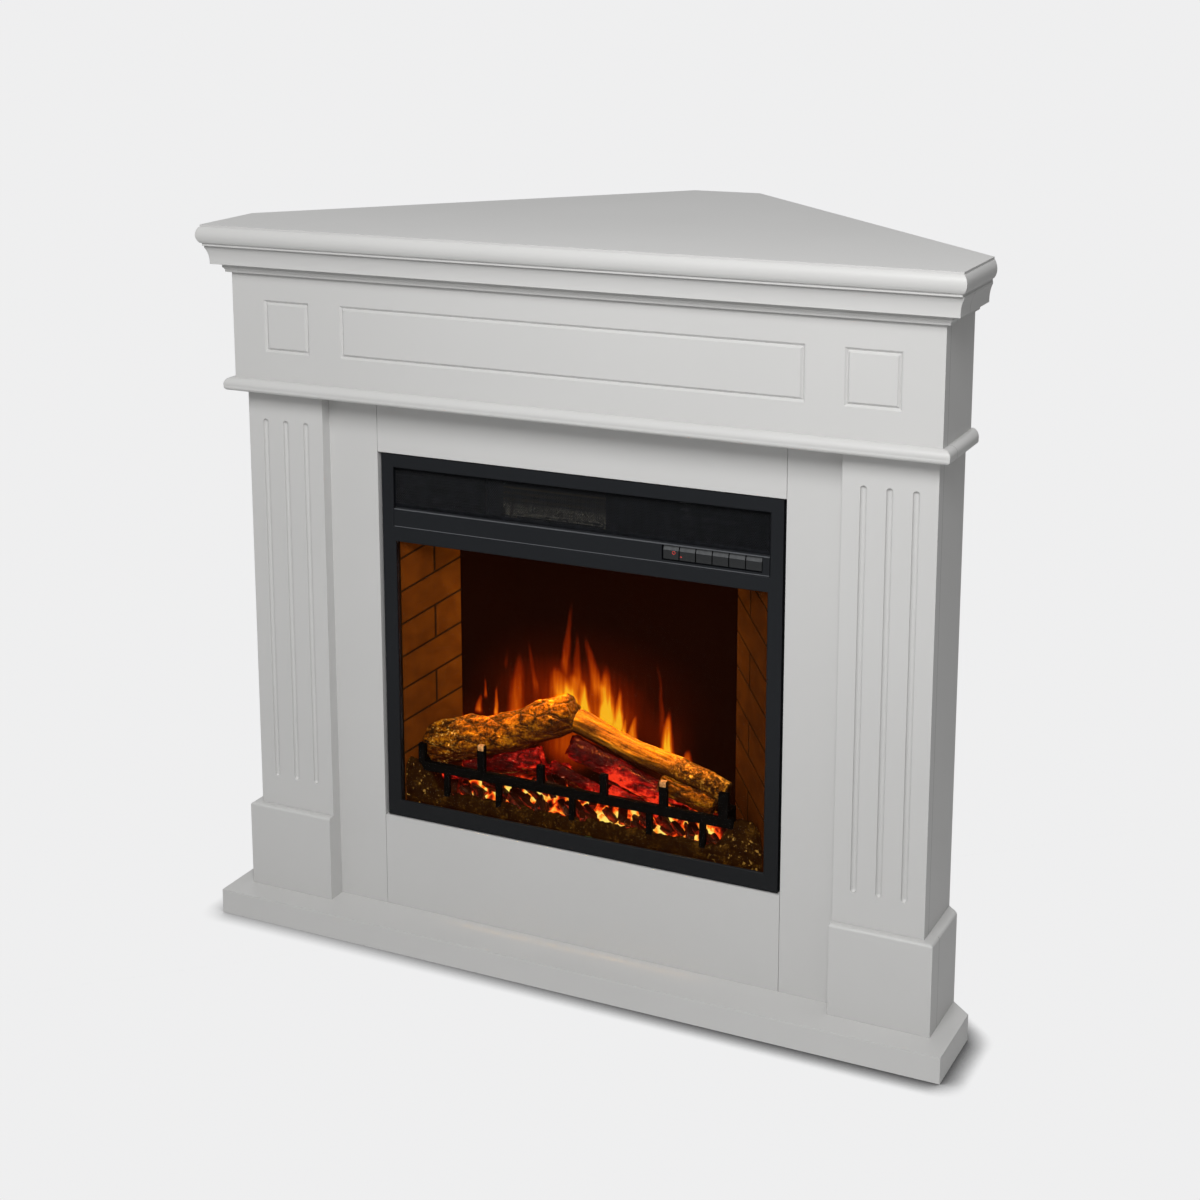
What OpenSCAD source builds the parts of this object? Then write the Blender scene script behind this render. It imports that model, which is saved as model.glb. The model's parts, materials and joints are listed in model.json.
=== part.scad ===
// Corner fireplace: a painted board mantel for a room corner, with an electric fire in it.
// X runs along the front, the front faces -Y, Z is up, and the floor is at z = 0.
// The plan is drawn from the base board's front edge, and seat() centres it on the origin.

/* [Mantel] */
// Height from the floor to the top of the shelf
overall_h = 1000; // [960:5:1060]
// Width over the shelf's rounded edges
shelf_w = 1054; // [1050:2:1060]
// Depth from the shelf's rounded front edge to its clipped back corner
depth = 603; // [598:1:608]
// Thickness of the mantel's boards
board_t = 18; // [16:1:18]
// Thickness of the top shelf
shelf_t = 29; // [25:1:32]
// Thickness of the base board
base_t = 35; // [28:1:38]
// Width of the base board
base_w = 1054; // [1050:2:1058]
// Width of the frieze
frieze_w = 990; // [988:1:992]
// Height of the frieze's lower edge
frieze_z = 769; // [766:1:772]
// Width over the two side panels
carcass_w = 974; // [972:1:976]
// Width of one pilaster
pilaster_w = 119; // [116:1:121]
// Height of a plinth block's top edge
plinth_top = 158; // [150:1:165]

/* [Mouldings and carving] */
// Height of the crown moulding
crown_h = 38; // [36:1:44]
// How far the crown moulding stands out from the frieze
crown_out = 26; // [22:1:28]
// Radius of the bead under the frieze
bead_r = 8.8; // [8:0.1:9]
// Flutes in one pilaster
flute_count = 3; // [2:1:4]
// Width of a flute
flute_w = 8; // [6:0.5:9]
// Depth of the V grooves in the frieze
groove_d = 3; // [2:0.5:4]

/* [Electric fire] */
// Width of the front frame
fire_w = 576; // [574:1:577]
// Height of the front frame
fire_h = 522; // [520:1:523]
// Height of the front frame's lower edge
fire_z = 170; // [169:0.5:171]
// Depth of the steel case behind the front frame
case_d = 186; // [180:1:200]
// Height of the glass window
window_h = 376; // [372:1:378]
// Height of the warm-air outlet
vent_h = 57; // [55:1:58]
// How far a key travels
key_travel = 1.2; // [0.8:0.1:1.4]
// Radius of the flame rotor's tips
rotor_r = 26; // [22:1:28]
// Radius of the blower wheel
blower_r = 24; // [20:1:26]

/* [Hidden] */
$fn = 48;
nose_out = 5;                      // the shelf edge's swell past its top face
overhang = 3;                      // the shelf edge past the base board's front
mid_y = depth / 2 - overhang;      // plan centre
eps = 0.01;

shelf_half = shelf_w / 2 - nose_out;
shelf_front = nose_out - overhang;
shelf_z = overall_h - shelf_t;
shelf_back = depth - overhang;
wall_sum = 651;                    // x + y along the room's wall, at the shelf
wall_gap = 2;                      // the lower body stands this much further in
frieze_half = frieze_w / 2;
frieze_y = 35;                     // plan depth of the frieze's face
pilaster_y = frieze_y + board_t;
panel_y = pilaster_y + board_t;
back_y = panel_y + board_t;        // rear face of the front boards
carcass_half = carcass_w / 2;
body_sum = wall_sum - wall_gap;    // x + y along the rear edges of the lower body
plinth_y = 42;
plinth_side = 14;                  // a plinth stands out this much at its side
plinth_half = carcass_half + plinth_side;
pilaster_in = carcass_half - pilaster_w;
fire_half = fire_w / 2;
bay_half = fire_half + 4;          // half the gap that the fire stands in
fire_top = fire_z + fire_h;

face_t = 3;                        // front frame's plate
frame_y = panel_y + 2.5;           // front face of the frame
inner_y = frame_y + face_t;        // rear face of the frame
window_half = 268;
window_z = fire_z + 23.5;
vent_half = 270.5;
vent_top = fire_top - 19;
vent_z = vent_top - vent_h;
fascia_z = vent_z - 26;            // lower edge of the control fascia
glass_t = 4;
sheet_t = 2;
case_half = 281;
case_z = 175;
case_top = 686;
case_back = inner_y + case_d;
divider_z = 582;
screen_y = 144;                    // face of the flame screen
screen_half = 198;                 // half its width between the liners
liner_t = 8;
liner_half = 265.5;                // half the space between the liners' front edges
liner_y = inner_y + glass_t + 1;
liner_run = [screen_half - liner_half, screen_y - liner_y];

key_count = 6;
key_pitch = 22.45;
key_w = 21;
key_h = 18.4;
key_first = 136.6;                 // centre of the first key
key_z = fascia_z + 13.9;
key_y = frame_y + 2.2;             // front of the keys
key_depth = 7;                     // cap only, without its stem
stem_d = 5;
stem_y = 14.7 + frame_y;           // rear end of the stems

rotor_y = 214;
rotor_z = 217;
rotor_half = 180;
rotor_blades = 14;
blower_y = 168;
blower_z = 640;
blower_x0 = -112;
blower_x1 = 34;
blower_blades = 20;
gland_x = 232;
gland_z = 199;
grate_y = inner_y + glass_t + 1.2; // front of the grate
grate_z = 241;                     // underside of its bar
fire_floor = case_z + sheet_t;

paint = [0.82, 0.82, 0.81];
iron = [0.11, 0.13, 0.14];
steel = [0.62, 0.63, 0.65];
bark = [0.30, 0.19, 0.12];

// ---------- helpers ----------

module seat() translate([0, -mid_y, 0]) children();

module both() {
    children();
    mirror([1, 0, 0]) children();
}

// A block between two corners.
module block(lo, hi) translate(lo) cube(hi - lo);

// A plan outline with 45 degree rear edges on the line x + y = sum, clipped at y = back.
module corner_plan(half, front, sum, back)
    polygon([[-half, front], [half, front], [half, sum - half], [sum - back, back],
        [back - sum, back], [-half, sum - half]]);

// Runs an edge profile, drawn outwards along x and up along y, along a front face at y = front.
module run_front(half, front)
    translate([-half, front, 0]) rotate([90, 0, 90]) mirror([1, 0, 0])
        linear_extrude(2 * half) children();

// Runs the same profile along a side face at x = side.
module run_side(side, y0, y1)
    translate([side, y1, 0]) rotate([90, 0, 0]) linear_extrude(y1 - y0) children();

// The front length of an applied moulding, mitred at both ends.
module moulding_front(half, front, reach)
    intersection() {
        run_front(half + reach, front) children();
        linear_extrude(overall_h)
            polygon([[-half - reach, front - reach], [half + reach, front - reach],
                [half, front], [-half, front]]);
    }

// The right-hand return of the same moulding, mitred in front and cut to the wall behind.
module moulding_side(half, front, reach)
    intersection() {
        run_side(half, front - reach, wall_sum - half) children();
        linear_extrude(overall_h)
            polygon([[half, front], [half + reach, front - reach],
                [half + reach, wall_sum - half - reach], [half, wall_sum - half]]);
    }

// ---------- edge profiles ----------

// Shelf edge: a flat swell with a small square fillet above and below it.
module shelf_profile(inward) {
    swell_r = 16;
    fillet = 3;
    intersection() {
        translate([nose_out - swell_r, overall_h - 14]) circle(r = swell_r);
        translate([-swell_r, shelf_z + 4]) square([2 * swell_r, shelf_t - 4 - fillet]);
    }
    translate([-inward, shelf_z + 4]) square([inward, shelf_t - 4]);
    translate([-inward, shelf_z]) square([inward - 1.5, 5]);
}

// Crown: a steep cove above a soft bead and a small step.
module crown_profile() {
    nose_r = 4;
    lip = crown_out - 9;
    difference() {
        translate([0, shelf_z - crown_h + 12]) square([crown_out, crown_h - 12]);
        translate([crown_out + 37, shelf_z - crown_h + 15]) circle(r = 42);
    }
    translate([0, shelf_z - crown_h + 12]) square([lip, 14]);
    translate([lip, shelf_z - crown_h + 12 + nose_r]) circle(r = nose_r);
    difference() {
        translate([0, shelf_z - crown_h]) square([9.3, 12]);
        translate([13, shelf_z - crown_h + 1]) circle(r = 6.6);
    }
}

// Bead: a half round with a slightly squarer lower edge.
module bead_profile() {
    intersection() {
        union() {
            translate([3.6, frieze_z + bead_r]) circle(r = bead_r);
            translate([7.2, frieze_z + 5]) circle(r = 5);
            translate([0, frieze_z]) square([7, 10]);
        }
        translate([0, frieze_z]) square([20, 2 * bead_r]);
    }
}

// ---------- mantel ----------

module top_shelf() color(paint) seat()
    intersection() {
        run_front(shelf_half + nose_out, shelf_front) shelf_profile(shelf_back);
        union() both() run_side(shelf_half, -nose_out, shelf_back)
            shelf_profile(shelf_half + eps);
        linear_extrude(overall_h)
            corner_plan(shelf_half + nose_out, -overhang, wall_sum, shelf_back);
    }

module crown_front() color(paint) seat()
    moulding_front(frieze_half, frieze_y, crown_out) crown_profile();

module crown_right() color(paint) seat()
    moulding_side(frieze_half, frieze_y, crown_out) crown_profile();

module crown_left() mirror([1, 0, 0]) crown_right();

module bead_front() color(paint) seat()
    moulding_front(frieze_half, frieze_y, 13) bead_profile();

module bead_right() color(paint) seat()
    moulding_side(frieze_half, frieze_y, 13) bead_profile();

module bead_left() mirror([1, 0, 0]) bead_right();

// One straight V cut of depth g, mitred at both ends. Its lower side faces out.
module v_bar(length, g)
    intersection() {
        rotate([45, 0, 0]) cube([length + 2 * g, g * sqrt(2), g * sqrt(2)], center = true);
        rotate([90, 0, 0]) linear_extrude(4 * g, center = true)
            polygon([[-length / 2 - g, -g], [length / 2 + g, -g],
                [length / 2 - g, g], [g - length / 2, g]]);
    }

// A rectangle of V cuts in a face at y = face, with mitred corners.
module v_frame(x0, x1, z0, z1, face, g)
    translate([(x0 + x1) / 2, face, (z0 + z1) / 2])
        for (turn = [0, 180]) rotate([0, turn, 0]) {
            translate([0, 0, (z0 - z1) / 2]) v_bar(x1 - x0, g);
            rotate([0, 90, 0]) translate([0, 0, (x0 - x1) / 2]) v_bar(z1 - z0, g);
        }

module frieze_board() color(paint) seat() {
    groove_z0 = frieze_z + 59.5;
    groove_z1 = groove_z0 + 65.5;
    difference() {
        block([-frieze_half, frieze_y, frieze_z], [frieze_half, pilaster_y, shelf_z]);
        v_frame(-322, 322, groove_z0, groove_z1, frieze_y, groove_d);
        both() v_frame(377, 441.5, groove_z0, groove_z1, frieze_y, groove_d);
    }
}

module frieze_backer() color(paint) seat()
    block([-carcass_half, pilaster_y, frieze_z], [carcass_half, panel_y, shelf_z]);

// The frieze's side board, cut to the wall's 45 degree line behind.
module frieze_return_right() color(paint) seat()
    translate([0, 0, frieze_z]) linear_extrude(shelf_z - frieze_z)
        polygon([[carcass_half, pilaster_y], [frieze_half, pilaster_y],
            [frieze_half, wall_sum - frieze_half - 3],
            [carcass_half, wall_sum - carcass_half - 3]]);

module frieze_return_left() mirror([1, 0, 0]) frieze_return_right();

// One round-ended flute, cut by a core-box bit.
module flute(z0, z1) {
    r = flute_w / 2;
    translate([0, 0, z0 + r]) rotate_extrude() {
        square([r, z1 - z0 - flute_w]);
        intersection() {
            circle(r = r);
            translate([0, -r]) square([r, r]);
        }
        intersection() {
            translate([0, z1 - z0 - flute_w]) circle(r = r);
            translate([0, z1 - z0 - flute_w]) square([r, r]);
        }
    }
}

module pilaster_right() color(paint) seat() {
    flute_pitch = 32.5;
    mid_x = pilaster_in + pilaster_w / 2;
    difference() {
        block([pilaster_in, pilaster_y, plinth_top], [carcass_half, panel_y, frieze_z]);
        for (i = [0 : flute_count - 1])
            translate([mid_x + (i - (flute_count - 1) / 2) * flute_pitch, pilaster_y, 0])
                flute(plinth_top + 43.5, frieze_z - 42.5);
    }
}

module pilaster_left() mirror([1, 0, 0]) pilaster_right();

module side_panel_right() color(paint) seat()
    translate([0, 0, base_t]) linear_extrude(shelf_z - base_t)
        polygon([[carcass_half - board_t, panel_y], [carcass_half, panel_y],
            [carcass_half, body_sum - carcass_half],
            [carcass_half - board_t, body_sum - carcass_half + board_t]]);

module side_panel_left() mirror([1, 0, 0]) side_panel_right();

// A block with its upper outer edge rounded along the front and one side.
module plinth_profile(inward, round_r) {
    translate([-inward, base_t]) square([inward, plinth_top - base_t - round_r]);
    translate([-inward, base_t]) square([inward - round_r, plinth_top - base_t]);
    translate([-round_r, plinth_top - round_r]) circle(r = round_r);
}

module plinth_right() color(paint) seat() {
    x0 = pilaster_in;
    length = plinth_half - x0;
    intersection() {
        block([x0, plinth_y, base_t], [plinth_half, panel_y, plinth_top]);
        run_front(plinth_half, plinth_y) plinth_profile(panel_y, 4);
        run_side(plinth_half, plinth_y, panel_y) plinth_profile(length, 4);
    }
}

module plinth_left() mirror([1, 0, 0]) plinth_right();

module plinth_return_right() color(paint) seat()
    intersection() {
        run_side(plinth_half, panel_y, body_sum) plinth_profile(plinth_side, 4);
        linear_extrude(plinth_top)
            polygon([[carcass_half, panel_y], [plinth_half, panel_y],
                [plinth_half, body_sum - plinth_half], [carcass_half, body_sum - carcass_half]]);
    }

module plinth_return_left() mirror([1, 0, 0]) plinth_return_right();

module infill_panel_right() color(paint) seat()
    block([bay_half + 0.5, panel_y, base_t], [carcass_half - board_t, back_y, shelf_z]);

module infill_panel_left() mirror([1, 0, 0]) infill_panel_right();

module header_panel() color(paint) seat()
    block([-bay_half, panel_y, fire_top + 1.5], [bay_half, back_y, shelf_z]);

module lower_panel() color(paint) seat()
    block([-bay_half, panel_y, base_t], [bay_half, back_y, fire_z - 1.5]);

module base_board() color(paint) seat()
    linear_extrude(base_t) corner_plan(base_w / 2, 0, body_sum, body_sum - 54);

module insert_shelf() color(paint) seat()
    difference() {
        block([-bay_half - 36, back_y, case_z - 16], [bay_half + 36, case_back + 14, case_z]);
        screw_holes();
    }

module shelf_uprights() color(paint) seat()
    both() block([252, back_y, base_t], [252 + board_t, case_back + 14, case_z - 16]);

// The post that carries the shelf's rear corner, standing on the base board.
module rear_post() color(paint) seat()
    block([-50, body_sum - 72, base_t], [50, body_sum - 72 + board_t, shelf_z]);

// Battens under the shelf along both walls.
rail_x = carcass_half - board_t - 1;

module wall_rails() color(paint) seat()
    both() translate([0, 0, shelf_z - 45]) linear_extrude(45)
        polygon([[rail_x, body_sum - rail_x], [rail_x, body_sum - rail_x - 25],
            [56, body_sum - 81], [56, body_sum - 56]]);

// Countersunk screws that hold the fire's shelf to its two uprights.
screw_spots = [for (x = [-261, 261], y = [125, 190, 255]) [x, y]];

module screw_holes()
    for (s = screw_spots) translate([s[0], s[1], case_z - 17]) {
        cylinder(d = 4.2, h = 18);
        translate([0, 0, 13.5]) cylinder(d1 = 4.2, d2 = 9.2, h = 3.5 + eps);
    }

module assembly_screws() color(steel) seat()
    for (s = screw_spots) translate([s[0], s[1], case_z - 16]) {
        cylinder(d = 3.8, h = 13);
        translate([0, 0, 12.6]) cylinder(d1 = 3.8, d2 = 8.4, h = 3);
    }

// ---------- electric fire: front ----------

// The front plate with its folded rim, the outlet and fascia opening, and the glass window.
module trim_frame() color(iron) seat()
    difference() {
        union() {
            block([-fire_half, frame_y, fire_z], [fire_half, inner_y, fire_top]);
            difference() {
                block([-fire_half, frame_y, fire_z], [fire_half, frame_y + 14, fire_top]);
                block([1.5 - fire_half, frame_y + 1, fire_z + 1.5],
                    [fire_half - 1.5, frame_y + 15, fire_top - 1.5]);
            }
        }
        bevelled_window(window_half, window_z, window_z + window_h);
        bevelled_window(vent_half, fascia_z, vent_top);
    }

// A window through the front plate, with its front edges bevelled.
module bevelled_window(half, z0, z1) {
    block([-half, frame_y - 1, z0], [half, inner_y + 1, z1]);
    v_frame(-half, half, z0, z1, frame_y, 1.2);
}

// The bar under the outlet, with the key slot at its right-hand end. A thin flange holds it
// behind the front plate, and a web at the back of the slot guides the keys' stems.
module control_fascia() color(iron) seat() {
    lip = 1.2;
    gap = 0.4;
    slot_side = 1.6;
    rear_y = frame_y + 13;
    web_y = rear_y - 2;
    slot_x0 = key_first - key_w / 2 - slot_side;
    slot_x1 = key_first + (key_count - 1) * key_pitch + key_w / 2 + slot_side;
    slot_half_h = key_h / 2 + 1;
    difference() {
        union() {
            translate([gap - vent_half, 0, 0]) rotate([90, 0, 90])
                linear_extrude(2 * (vent_half - gap))
                    polygon([[frame_y + 0.6, fascia_z + gap], [rear_y, fascia_z + gap],
                        [rear_y, vent_z], [frame_y + 0.6 + lip, vent_z],
                        [frame_y + 0.6, vent_z - lip]]);
            block([-vent_half - 6, inner_y, fascia_z - 4], [vent_half + 6, inner_y + 2, vent_z]);
        }
        block([slot_x0, frame_y - 1, key_z - slot_half_h], [slot_x1, web_y, key_z + slot_half_h]);
        for (i = [0 : key_count - 1])
            translate([key_first + i * key_pitch, rear_y + 1, key_z]) rotate([90, 0, 0])
                cylinder(d = stem_d + 0.4, h = 4);
    }
}

// A woven steel screen in a folded rim, behind the outlet.
module vent_mesh() color([0.06, 0.06, 0.07]) seat() {
    half = vent_half + 5;
    z0 = vent_z + 0.6;
    z1 = vent_top + 6;
    plate_y = inner_y + 6;
    wire = 2.6;
    cols = 44;
    rows = 4;
    pitch_x = 2 * vent_half / cols;
    pitch_z = (vent_h - 4) / rows;
    translate([0, plate_y + 1.2, 0]) rotate([90, 0, 0]) linear_extrude(1.2)
        difference() {
            translate([-half, z0]) square([2 * half, z1 - z0]);
            for (i = [0 : cols - 1], j = [0 : rows - 1])
                translate([-vent_half + (i + 0.5) * pitch_x, vent_z + 2 + (j + 0.5) * pitch_z])
                    square([pitch_x - wire, pitch_z - wire], center = true);
        }
    both() block([half - 1.5, inner_y, z0], [half, plate_y, z1]);
    block([-half, inner_y, z1 - 1.5], [half, plate_y, z1]);
}

module front_glass() color([0.35, 0.2, 0.08, 0.35]) seat()
    block([-window_half - 9, inner_y, window_z - 9],
        [window_half + 9, inner_y + glass_t, window_z + window_h + 8]);

// One key: a cap with a sloped upper face and rounded edges, and a stem behind it.
module key_cap(index) {
    x = key_first + index * key_pitch;
    edge_r = 1.2;
    slope_z = 3.4;
    slope_y = 2.2;
    translate([x - key_w / 2, 0, key_z]) rotate([90, 0, 90]) linear_extrude(key_w) {
        translate([key_y + edge_r, edge_r - key_h / 2]) circle(r = edge_r);
        translate([key_y + edge_r, slope_z - 0.4]) circle(r = edge_r);
        polygon([[key_y, edge_r - key_h / 2], [key_y, slope_z - 0.4],
            [key_y + 0.15, slope_z + 0.2], [key_y + slope_y, key_h / 2],
            [key_y + key_depth, key_h / 2], [key_y + key_depth, -key_h / 2],
            [key_y + edge_r, -key_h / 2]]);
    }
    translate([x, stem_y, key_z]) rotate([90, 0, 0])
        cylinder(d = stem_d, h = stem_y - key_y - key_depth + 0.5);
}

module button_1() color([0.05, 0.05, 0.06]) seat() key_cap(0);
module button_2() color([0.05, 0.05, 0.06]) seat() key_cap(1);
module button_3() color([0.05, 0.05, 0.06]) seat() key_cap(2);
module button_4() color([0.05, 0.05, 0.06]) seat() key_cap(3);
module button_5() color([0.05, 0.05, 0.06]) seat() key_cap(4);
module button_6() color([0.05, 0.05, 0.06]) seat() key_cap(5);

// Circuit board behind the keys, with a small push switch behind each stem.
module control_board() color([0.07, 0.28, 0.14]) seat() {
    y0 = stem_y + key_travel + 0.3;
    x0 = key_first - key_pitch / 2 - 4;
    x1 = key_first + (key_count - 0.5) * key_pitch + 1;
    block([x0, y0 + 3, fascia_z + 1], [x1, y0 + 4.6, vent_z - 1]);
    for (i = [0 : key_count - 1])
        translate([key_first + i * key_pitch, y0, key_z]) translate([-3, 0, -3]) cube([6, 3 + eps, 6]);
    for (x = [x0 + 2, x1 - 6])
        block([x, y0 + 4.6, divider_z + sheet_t], [x + 4, y0 + 12, vent_z - 1]);
}

// ---------- electric fire: case and fire bed ----------

module fire_case() color(steel) seat()
    difference() {
        block([-case_half, inner_y, case_z], [case_half, case_back, case_top]);
        block([sheet_t - case_half, inner_y - 1, fire_floor],
            [case_half - sheet_t, case_back + 1, case_top - sheet_t]);
    }

// Rear cover with its air slots and the hole for the cable gland.
module rear_cover() color(steel) seat()
    difference() {
        block([-case_half, case_back, case_z], [case_half, case_back + sheet_t, case_top]);
        translate([gland_x, case_back - 1, gland_z]) rotate([-90, 0, 0]) cylinder(d = 12.2, h = 4);
        for (i = [-6 : 6], z = [divider_z + 30, case_z + 60])
            translate([i * 26, case_back + 1, z]) cube([16, 6, 36], center = true);
    }

// Gland where a mains lead leaves the case: a collar inside, a tapered sleeve outside.
module cable_gland() color([0.08, 0.08, 0.08]) seat()
    translate([gland_x, case_back, gland_z]) rotate([-90, 0, 0]) difference() {
        union() {
            translate([0, 0, -5]) cylinder(d = 12, h = 9);
            translate([0, 0, -7]) cylinder(d = 17, h = 7);
            translate([0, 0, sheet_t]) cylinder(d = 17, h = 3);
            translate([0, 0, sheet_t + 3]) cylinder(d1 = 13, d2 = 9.5, h = 12);
        }
        translate([0, 0, -8]) cylinder(d = 7, h = 30);
    }

module divider_plate() color(steel) seat()
    block([sheet_t - case_half, inner_y + 6, divider_z],
        [case_half - sheet_t, case_back, divider_z + sheet_t]);

// A side liner, splayed from the glass to the flame screen. Its brick courses slant upwards to
// the back, so that the box looks deeper than it is.
module brick_panel_right() color([0.36, 0.2, 0.08]) seat() {
    length = norm(liner_run);
    angle = atan2(liner_run[1], liner_run[0]);
    height = divider_z - fire_floor;
    course = 47;
    slant = 27;
    joint = 3;
    first = 35 - course;
    difference() {
        translate([liner_half, liner_y, fire_floor]) rotate([0, 0, angle])
            translate([0, -liner_t, 0]) cube([length - liner_t, liner_t, height]);
        translate([liner_half, liner_y, fire_floor]) rotate([0, 0, angle])
            for (k = [0 : floor(height / course)]) translate([0, -1.5, first + k * course]) {
                rotate([0, -slant, 0]) translate([-3, 0, 0]) cube([length / cos(slant) + 6, 3, joint]);
                if (k % 2 == 1)
                    translate([length / 2, 0, length / 2 * tan(slant) + 1]) cube([joint, 3, course]);
            }
        block([liner_half - 20, 0, fire_floor - 1], [liner_half + 40, liner_y, divider_z + 1]);
        block([screen_half - 20, screen_y, fire_floor - 1],
            [screen_half + 40, screen_y + 20, divider_z + 1]);
    }
}

module brick_panel_left() mirror([1, 0, 0]) brick_panel_right();

module flame_screen() color([0.12, 0.04, 0.02]) seat()
    block([-screen_half - 14, screen_y, fire_floor], [screen_half + 14, screen_y + 3, divider_z]);

// Two triangles for a four-cornered face.
function quad(a, b, c, d) = [[a, b, c], [a, c, d]];

// A smooth bump: 1 at the middle, 0 from the given width on.
function bump(x, middle, width) = abs(x - middle) < width ? pow(cos(90 * (x - middle) / width), 2) : 0;

// The ember bed's rows from the glass to the screen, and their heights above the case's floor:
// a strip of ash, a hollow behind it and the slope of embers up to the screen.
ember_rows = [81.7, 85, 90, 95.5, 101, 110, 122, 142];
ember_rise = [18, 33, 37, 31, 27, 40, 53, 58];
ember_cols = 40;
last_row = len(ember_rows) - 1;
function ember_half(y) = liner_half + liner_run[0] / liner_run[1] * (y - liner_y) - 1.6;

// A point on top of the bed, with a mound at each end of the grate and lumps all over.
function ember_top(i, j) =
    let (u = 2 * i / ember_cols - 1, y = ember_rows[j], x = u * ember_half(y),
        mound = (j == 0 ? 0.4 : j < 5 ? 1 : 0.5) * 34 * (bump(x, -249, 26) + bump(x, 231, 30)),
        lump = 2.6 * sin(19 * x + 40 * j) * cos(11 * x + 75 * j) + 1.6 * sin(33 * x + 160 * j))
    [x, y, case_z + ember_rise[j] - 0.03 * x * (j < 4 ? 1 : 0) + mound + lump];

// The point below it. The bed stands on a foot at each end and clears the lamps between.
function ember_low(i, j) =
    let (p = ember_top(i, j)) [p[0], p[1], fire_floor + (i < 2 || i > ember_cols - 2 ? 0 : 6)];

function ember_id(i, j) = j * (ember_cols + 1) + i;

module ember_bed() color([0.55, 0.16, 0.04]) seat() {
    cols = [0 : ember_cols - 1];
    rows = [0 : last_row - 1];
    n = (ember_cols + 1) * (last_row + 1);
    top = [for (j = [0 : last_row], i = [0 : ember_cols]) ember_top(i, j)];
    low = [for (j = [0 : last_row], i = [0 : ember_cols]) ember_low(i, j)];
    upper = [for (j = rows, i = cols) each
        quad(ember_id(i, j), ember_id(i, j + 1), ember_id(i + 1, j + 1), ember_id(i + 1, j))];
    lower = [for (f = upper) [n + f[0], n + f[2], n + f[1]]];
    front = [for (i = cols) each
        quad(ember_id(i, 0), ember_id(i + 1, 0), n + ember_id(i + 1, 0), n + ember_id(i, 0))];
    rear = [for (i = cols) each
        quad(ember_id(i + 1, last_row), ember_id(i, last_row),
            n + ember_id(i, last_row), n + ember_id(i + 1, last_row))];
    left = [for (j = rows) each
        quad(ember_id(0, j + 1), ember_id(0, j), n + ember_id(0, j), n + ember_id(0, j + 1))];
    right = [for (j = rows) each
        quad(ember_id(ember_cols, j), ember_id(ember_cols, j + 1),
            n + ember_id(ember_cols, j + 1), n + ember_id(ember_cols, j))];
    polyhedron(concat(top, low), concat(upper, lower, front, rear, left, right));
}

// The circuit board with the lamps under the embers and in front of the rotor.
module led_board() color([0.07, 0.28, 0.14]) seat() {
    block([-176, 98, fire_floor], [176, 138, fire_floor + 2]);
    for (i = [-7 : 7])
        translate([i * 24, 118, fire_floor + 2]) cylinder(d = 5, h = 3);
}

// A post of the grate: its middle, the height of its top and its width.
grate_posts = [[-238.5, 279, 10], [-145.5, 292, 11], [-55.5, 279, 10], [38.5, 283, 10],
    [124.5, 289, 11], [209, 288, 13]];

// The basket grate: a square bar with posts on it, short legs down into the ash between them,
// and an arm back from each end.
module grate() color(iron) seat() {
    bar_h = 13;
    bar_d = 7;
    x0 = -243.5;
    x1 = 223.5;
    leg_w = 8;
    block([x0, grate_y, grate_z], [x1, grate_y + bar_d, grate_z + bar_h]);
    for (post = grate_posts)
        block([post[0] - post[2] / 2, grate_y, grate_z + bar_h - eps],
            [post[0] + post[2] / 2, grate_y + bar_d, post[1]]);
    for (x = [-200, -119.5, -8.5, 104.5, 180])
        translate([x - leg_w / 2, grate_y + 0.5, case_z + 24])
            cube([leg_w, bar_d - 1, grate_z - case_z - 24 + eps]);
    block([x0, grate_y, grate_z], [x0 + 10, grate_y + 18, grate_z + bar_h]);
    block([202.5, grate_y, grate_z], [215.5, grate_y + 30, grate_z + bar_h + 8]);
}

// Rings of a log's surface from p to q, round a centre line that sags by the given amount.
// Its bark is a pattern of ridges. Skew slants its left-hand end, and its right-hand one is upright.
function log_points(p, q, ry, rz, sides, rings, sag = 0, skew = 0) =
    let (run = q - p, tilt = atan2(run[2], norm([run[0], run[1]])))
    [for (k = [0 : rings], i = [0 : sides - 1])
        let (t = k / rings, a = 360 * i / sides,
            ridge = 1 + 0.05 * sin(4 * a + 500 * t) + 0.045 * cos(7 * a - 900 * t)
                - (k == 0 || k == rings ? 0.12 : 0),
            y = ry * ridge * cos(a), up = rz * ridge * sin(a))
        p + run * t + [(skew * (y + ry) - sin(tilt) * up) * (1 - t), y, cos(tilt) * up - sag * sin(180 * t)]];

// A log as a closed surface: its rings, a centre point in each end and the faces between them.
module bark_log(p, q, ry, rz, sides = 10, rings = 10, sag = 0, skew = 0) {
    n = sides * (rings + 1);
    ring = [for (i = [0 : sides - 1]) [i, (i + 1) % sides]];
    skin = [for (k = [0 : rings - 1], e = ring) each
        quad(k * sides + e[0], (k + 1) * sides + e[0], (k + 1) * sides + e[1], k * sides + e[1])];
    ends = [for (e = ring) each [[n, e[0], e[1]], [n + 1, n - sides + e[1], n - sides + e[0]]]];
    polyhedron(concat(log_points(p, q, ry, rz, sides, rings, sag, skew), [p + [skew * ry, 0, 0], q]),
        concat(skin, ends));
}

// A peg under a log, pushed into a socket in the ember bed.
module peg(x, y, top) translate([x, y, case_z + 18]) cylinder(d = 6, h = top - case_z - 18);

module log_left() color(bark) seat() {
    bark_log([-225, 115.5, 274], [-23, 115.5, 350], 23, 31, sides = 18, rings = 22, sag = 5, skew = 0.8);
    translate([-44, 116, 345]) rotate([-8, -20, 0]) cylinder(r1 = 19, r2 = 14, h = 31);
    peg(-186, 112, 270);
    peg(-54, 112, 320);
}

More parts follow.
